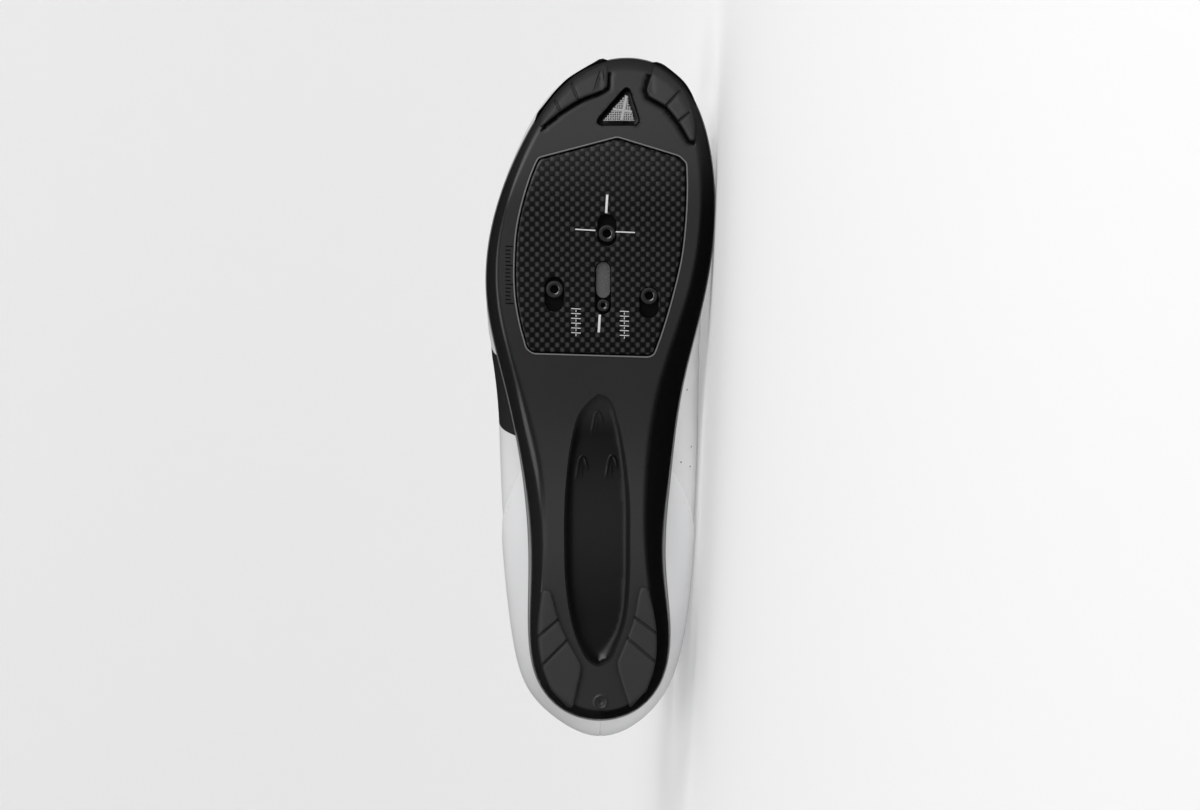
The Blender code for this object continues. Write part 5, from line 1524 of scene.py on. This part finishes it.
def makeTongue():
    turns = np.linspace(tongue["back"], tongue["front"], 90)
    parts = np.linspace(0, 1, 26)
    rounded = 1 - np.exp(-parts / 0.05)
    grids = []
    for deep in (0.0, tongue["thick"]):
        rows = []
        for turn in turns:
            free = float(smoothStep((tongue["freeTurn"] - turn) / tongue["freeTurns"]))
            low = tongue["edge"] + tongue["narrow"] * free
            shares = low + (ridgeShare - low) * parts
            wave = math.pi * tongue["quilts"] * (turn - tongue["back"])
            quilt = tongue["quilt"] * np.cos(wave / (tongue["front"] - tongue["back"])) ** 8
            row = []
            for sign in (1, -1):
                places = upperRow(turn * sign, shares)
                normals = upperNormals([turn * sign], shares)[0]
                walls = wallThickness(np.array([turn]), shares)[0]
                sink = walls + tongue["gap"] + deep * rounded + quilt
                points = places - normals * np.reshape(sink, (-1, 1))
                lifted = smoothStep((shares - 1) / (ridgeShare - 1))
                points[:, 2] += tongue["rise"] * free * lifted
                row.append(points)
            rows.append(np.vstack([row[0], row[1][-2::-1]]))
        grids.append(np.array(rows))
    outer, inner = grids
    rows, columns = outer.shape[:2]
    vertices = list(outer.reshape(-1, 3)) + list(inner.reshape(-1, 3))
    count = rows * columns
    faces = gridFaces(rows, columns) + gridFaces(rows, columns, start=count, flip=True)
    loop = [k for k in range(columns)] + [i * columns + columns - 1 for i in range(1, rows)]
    loop += [(rows - 1) * columns + k for k in range(columns - 2, -1, -1)]
    loop += [i * columns for i in range(rows - 2, 0, -1)]
    faces += ringFaces(loop, [i + count for i in loop])
    piece = newPiece("tongue.cloth", vertices, faces, [tongueCloth], smoothAngle=50)
    facesOut(piece)
    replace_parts(piece, "tongue")


makeTongue()


# Insole: rings of (distance in from the rim, height over the bed)
insoleRings = [(0.0127, 0.0003), (0.0055, 0.0015), (0.0053, 0.0025), (0.0056, 0.0034),
               (0.0068, 0.0036), (0.0095, 0.0038), (0.0127, 0.0038)]


def makeInsole():
    turns = evenTurns[::2]
    vertices = []
    rings = []
    for inset, rise in insoleRings:
        place = rimPoints(turns, np.full(len(turns), inset))
        level = bedHeight(place[:, 0]) + rise
        rings.append(addRing(vertices, np.column_stack([place, level])))
    faces = joinRings(rings)
    for ring, rise in ((rings[-1], insoleRings[-1][1]), (rings[0], insoleRings[0][1])):
        fillRing(vertices, faces, ring, 8, rise)
    piece = newPiece("insole.cloth", vertices, faces, [insoleCloth], smoothAngle=50)
    facesOut(piece)
    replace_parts(piece, "insole")


makeInsole()
print("tongue and insole made")

# Lace: one flat bar over the tongue at each pair of eyelets
lace = {"rows": 7, "back": 91, "front": 120, "inset": 0.94, "width": 0.0058, "thick": 0.0012,
        "gap": 0.0005, "bend": 0.0014, "tuck": 0.0028, "ripple": 0.03, "ring": 0.0025,
        "wire": 0.00042}


def laceBar(number, turn):
    ahead = upperRow(turn + 1, [ridgeShare])[0] - upperRow(turn - 1, [ridgeShare])[0]
    ahead /= np.linalg.norm(ahead)
    centre = []
    for share in np.linspace(lace["inset"], 2 * ridgeShare - lace["inset"], 31):
        side, height = (1, share) if share <= ridgeShare else (-1, 2 * ridgeShare - share)
        place = upperRow(turn * side, [height])[0]
        normal = upperNormals([turn * side], [height])[0, 0]
        centre.append((place + normal * (lace["gap"] + lace["thick"] / 2), normal, 1.0))
    path = []
    for (place, normal, _), (near, _, _), reverse in (
            (centre[0], centre[1], False), (centre[-1], centre[-2], True)):
        out = place - near
        out /= np.linalg.norm(out)
        turnIn = []
        for angle in (30, 60, 90):
            a = math.radians(angle)
            radius = lace["bend"]
            spot = place + out * radius * math.sin(a) - normal * radius * (1 - math.cos(a))
            turnIn.append((spot, normal * math.cos(a) + out * math.sin(a), 1 - angle / 220))
        spot = turnIn[-1][0] - normal * lace["tuck"]
        turnIn.append((spot, out, 0.55))
        path.append(turnIn if reverse else turnIn[::-1])
    spots = path[0] + centre + path[1]
    vertices = []
    rows = []
    for k, (place, normal, wide) in enumerate(spots):
        ripple = 1 + lace["ripple"] * math.sin(k * 1.7 + number)
        points = []
        for step in range(12):
            a = math.tau * step / 12
            across = math.copysign(abs(math.cos(a)) ** 0.6, math.cos(a))
            up = math.copysign(abs(math.sin(a)) ** 0.8, math.sin(a))
            points.append(place + ahead * across * lace["width"] / 2 * wide * ripple
                          + normal * up * lace["thick"] / 2)
        rows.append(addRing(vertices, points))
    faces = joinRings(rows) + [tuple(rows[0]), tuple(reversed(rows[-1]))]
    piece = newPiece(f"lace.{number}", vertices, faces, [laceCloth], smoothAngle=60)
    facesOut(piece)
    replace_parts(piece, f"lace_bar_{number}")


def eyeletRing(number, turn, sign):
    centre = upperRow(turn * sign, [lace["inset"]])[0]
    normal = upperNormals([turn * sign], [lace["inset"]])[0, 0]
    side, up = acrossNormal(normal)
    vertices = []
    rows = []
    for place, out in zip(ovalPoints(centre, side, up, lace["ring"], lace["ring"], 28),
                          ovalPoints(np.zeros(3), side, up, 1.0, 1.0, 28)):
        rows.append(addRing(vertices, ovalPoints(place, out, normal, lace["wire"],
                                                 lace["wire"] * 0.8, 8)))
    faces = joinRings(rows, closed=True)
    # a disc in lining grey over the upper inside the ring, where the hole would be: painted shade
    faces.append(tuple(addRing(vertices, ovalPoints(centre + normal * 0.0001, side, up,
                                                    lace["ring"], lace["ring"], 28))))
    label = "medial" if sign > 0 else "lateral"
    newPiece(f"eyelet.{label}.{number}", vertices, faces, [insertMetal, liningCloth],
             [0] * (len(faces) - 1) + [1], smoothAngle=50)


for number in range(1, lace["rows"] + 1):
    turn = lace["back"] + (lace["front"] - lace["back"]) * (number - 1) / (lace["rows"] - 1)
    laceBar(number, turn)
    for sign in (1, -1):
        eyeletRing(number, turn, sign)
print("laces made")


# A pinhole's rings: radius and lift off the skin
pinhole = [(0.00075, 0.00002), (0.0006, 0.00010), (0.00045, 0.00008), (0.0004, 0.00003)]


# Pinholes punched in the medial flank, found where the picture sees them
def punchHoles():
    turns = np.arange(60, 130, 0.5)
    heights = np.linspace(0.02, 0.5, 60)
    places = upperGrid(turns, heights)
    normals = upperNormals(turns, heights)
    seen = 1 + (places[..., 2] - picture["level"]) / picture["distance"]
    vertices = []
    faces = []
    for px, py in upper["pinholes"]:
        x, y = placeOf(px, py)
        miss = (places[..., 0] - picture["aim"] - (x - picture["aim"]) * seen) ** 2
        miss = miss + (places[..., 1] - y * seen) ** 2 + (normals[..., 2] > 0.3) * 1.0
        i, j = np.unravel_index(miss.argmin(), miss.shape)
        place, normal = places[i, j], normals[i, j]
        side, up = acrossNormal(normal)
        rings = []
        for radius, lift in pinhole:
            rings.append(addRing(vertices, ovalPoints(place + normal * lift, side, up,
                                                      radius, radius, 16)))
        faces += joinRings(rings)
        faces.append(tuple(rings[-1]))
    # each hole is a disc in lining grey on the skin: the lining seen through the hole, with
    # painted shade inside it
    chosen = [1 if len(face) > 4 else 0 for face in faces]
    newPiece("upper.pinholes", vertices, faces, [counterWhite, liningCloth], chosen, 60)


punchHoles()
print("pinholes made")

# Stage: pale ground swept up behind the shoe, evenly lit; darker in the sole's reflections
stage = {
    "tone": 0.84,
    "glow": 0.11,
    "bounce": 0.27,
    "mirrored": 0.012,
    "streak": 0.35,
    "keyPower": 30.0,
    "fillPower": 14.0,
    "lens": 186.0,
    "world": 0.35,
    "worldMirrored": 0.02,
}


def makeSweep():
    material = bpy.data.materials.new("ground")
    material.use_nodes = True
    tree = material.node_tree
    principled = tree.nodes["Principled BSDF"]
    principled.inputs["Base Color"].default_value = (stage["tone"],) * 3 + (1,)
    principled.inputs["Roughness"].default_value = 0.95
    principled.inputs["Specular IOR Level"].default_value = 0.1
    principled.inputs["Emission Color"].default_value = (1, 1, 1, 1)
    rays = addNode(tree, "ShaderNodeLightPath")
    glow = maths(tree, "MULTIPLY_ADD", rays.outputs["Is Diffuse Ray"], stage["bounce"],
                 stage["glow"])
    tree.links.new(glow, principled.inputs["Emission Strength"])
    # a band across the ground in front of the shoe glows only in glossy reflections, and lays
    # streaks of reflected light along the sole's walls
    spot = addNode(tree, "ShaderNodeTexCoord")
    apart = addNode(tree, "ShaderNodeSeparateXYZ", [(0, spot.outputs["Object"])])
    edges = [addNode(tree, "ShaderNodeMapRange", [("Value", apart.outputs["Y"]), (1, near),
                                                  (2, far), (3, 0.0), (4, stage["streak"])])
             for near, far in ((-0.62, -0.50), (-0.46, -0.34))]
    strip = maths(tree, "SUBTRACT", edges[0].outputs[0], edges[1].outputs[0])
    mirrored = maths(tree, "ADD", strip, stage["mirrored"])
    dark = addNode(tree, "ShaderNodeEmission", [("Strength", mirrored)])
    # clear from behind, so that the shoe's far side can be seen past the wall
    clear = addNode(tree, "ShaderNodeBsdfTransparent")
    behind = addNode(tree, "ShaderNodeNewGeometry").outputs["Backfacing"]
    surface = principled.outputs["BSDF"]
    for factor, other in ((rays.outputs["Is Glossy Ray"], dark.outputs["Emission"]),
                          (behind, clear.outputs["BSDF"])):
        surface = addNode(tree, "ShaderNodeMixShader",
                          [(0, factor), (1, surface), (2, other)]).outputs["Shader"]
    tree.links.new(surface, tree.nodes["Material Output"].inputs["Surface"])
    start, radius = 0.5, 0.8
    profile = [(-3.2, 0.0), (start, 0.0)]
    for k in range(1, 13):
        a = math.radians(90 * k / 12)
        profile.append((start + radius * math.sin(a), radius * (1 - math.cos(a))))
    profile.append((start + radius, 3.0))
    vertices = [(x, y, z) for y, z in profile for x in (-3, 3)]
    faces = [(2 * i, 2 * i + 1, 2 * i + 3, 2 * i + 2) for i in range(len(profile) - 1)]
    mesh = bpy.data.meshes.new("ground")
    mesh.from_pydata(vertices, [], faces)
    mesh.polygons.foreach_set("use_smooth", [True] * len(faces))
    mesh.materials.append(material)
    ground = bpy.data.objects.new("ground", mesh)
    bpy.context.scene.collection.objects.link(ground)


def addCamera():
    axes = Matrix(((0, 1, 0), (1, 0, 0), (0, 0, -1))).transposed().to_4x4()
    camera = bpy.data.objects.new("camera", bpy.data.cameras.new("camera"))
    bpy.context.scene.collection.objects.link(camera)
    away = picture["level"] - picture["distance"]
    camera.matrix_world = placement @ Matrix.Translation((picture["aim"], 0, away)) @ axes
    camera.data.lens = stage["lens"]
    bpy.context.scene.camera = camera


def addSoftbox(name, place, power, size):
    light = bpy.data.objects.new(name, bpy.data.lights.new(name, "AREA"))
    light.data.energy = power
    light.data.shape = "RECTANGLE"
    light.data.size, light.data.size_y = size
    bpy.context.scene.collection.objects.link(light)
    light.location = place
    aim = Vector((0, 0, 0.05)) - Vector(place)
    light.rotation_euler = aim.to_track_quat("-Z", "Y").to_euler()


makeSweep()
addCamera()
addSoftbox("key", (1.5, -1.5, 1.3), stage["keyPower"], (1.5, 1.5))
addSoftbox("fill", (-0.5, -1.6, 2.2), stage["fillPower"], (1.8, 1.0))
world = bpy.data.worlds.new("surroundings")
bpy.context.scene.world = world
world.use_nodes = True
background = world.node_tree.nodes["Background"]
background.inputs["Color"].default_value = (1, 1, 1, 1)
rays = addNode(world.node_tree, "ShaderNodeLightPath")
level = maths(world.node_tree, "MULTIPLY_ADD", rays.outputs["Is Glossy Ray"],
              stage["worldMirrored"] - stage["world"], stage["world"])
world.node_tree.links.new(level, background.inputs["Strength"])
bpy.context.scene.view_settings.view_transform = "Standard"
print("stage and lights set")
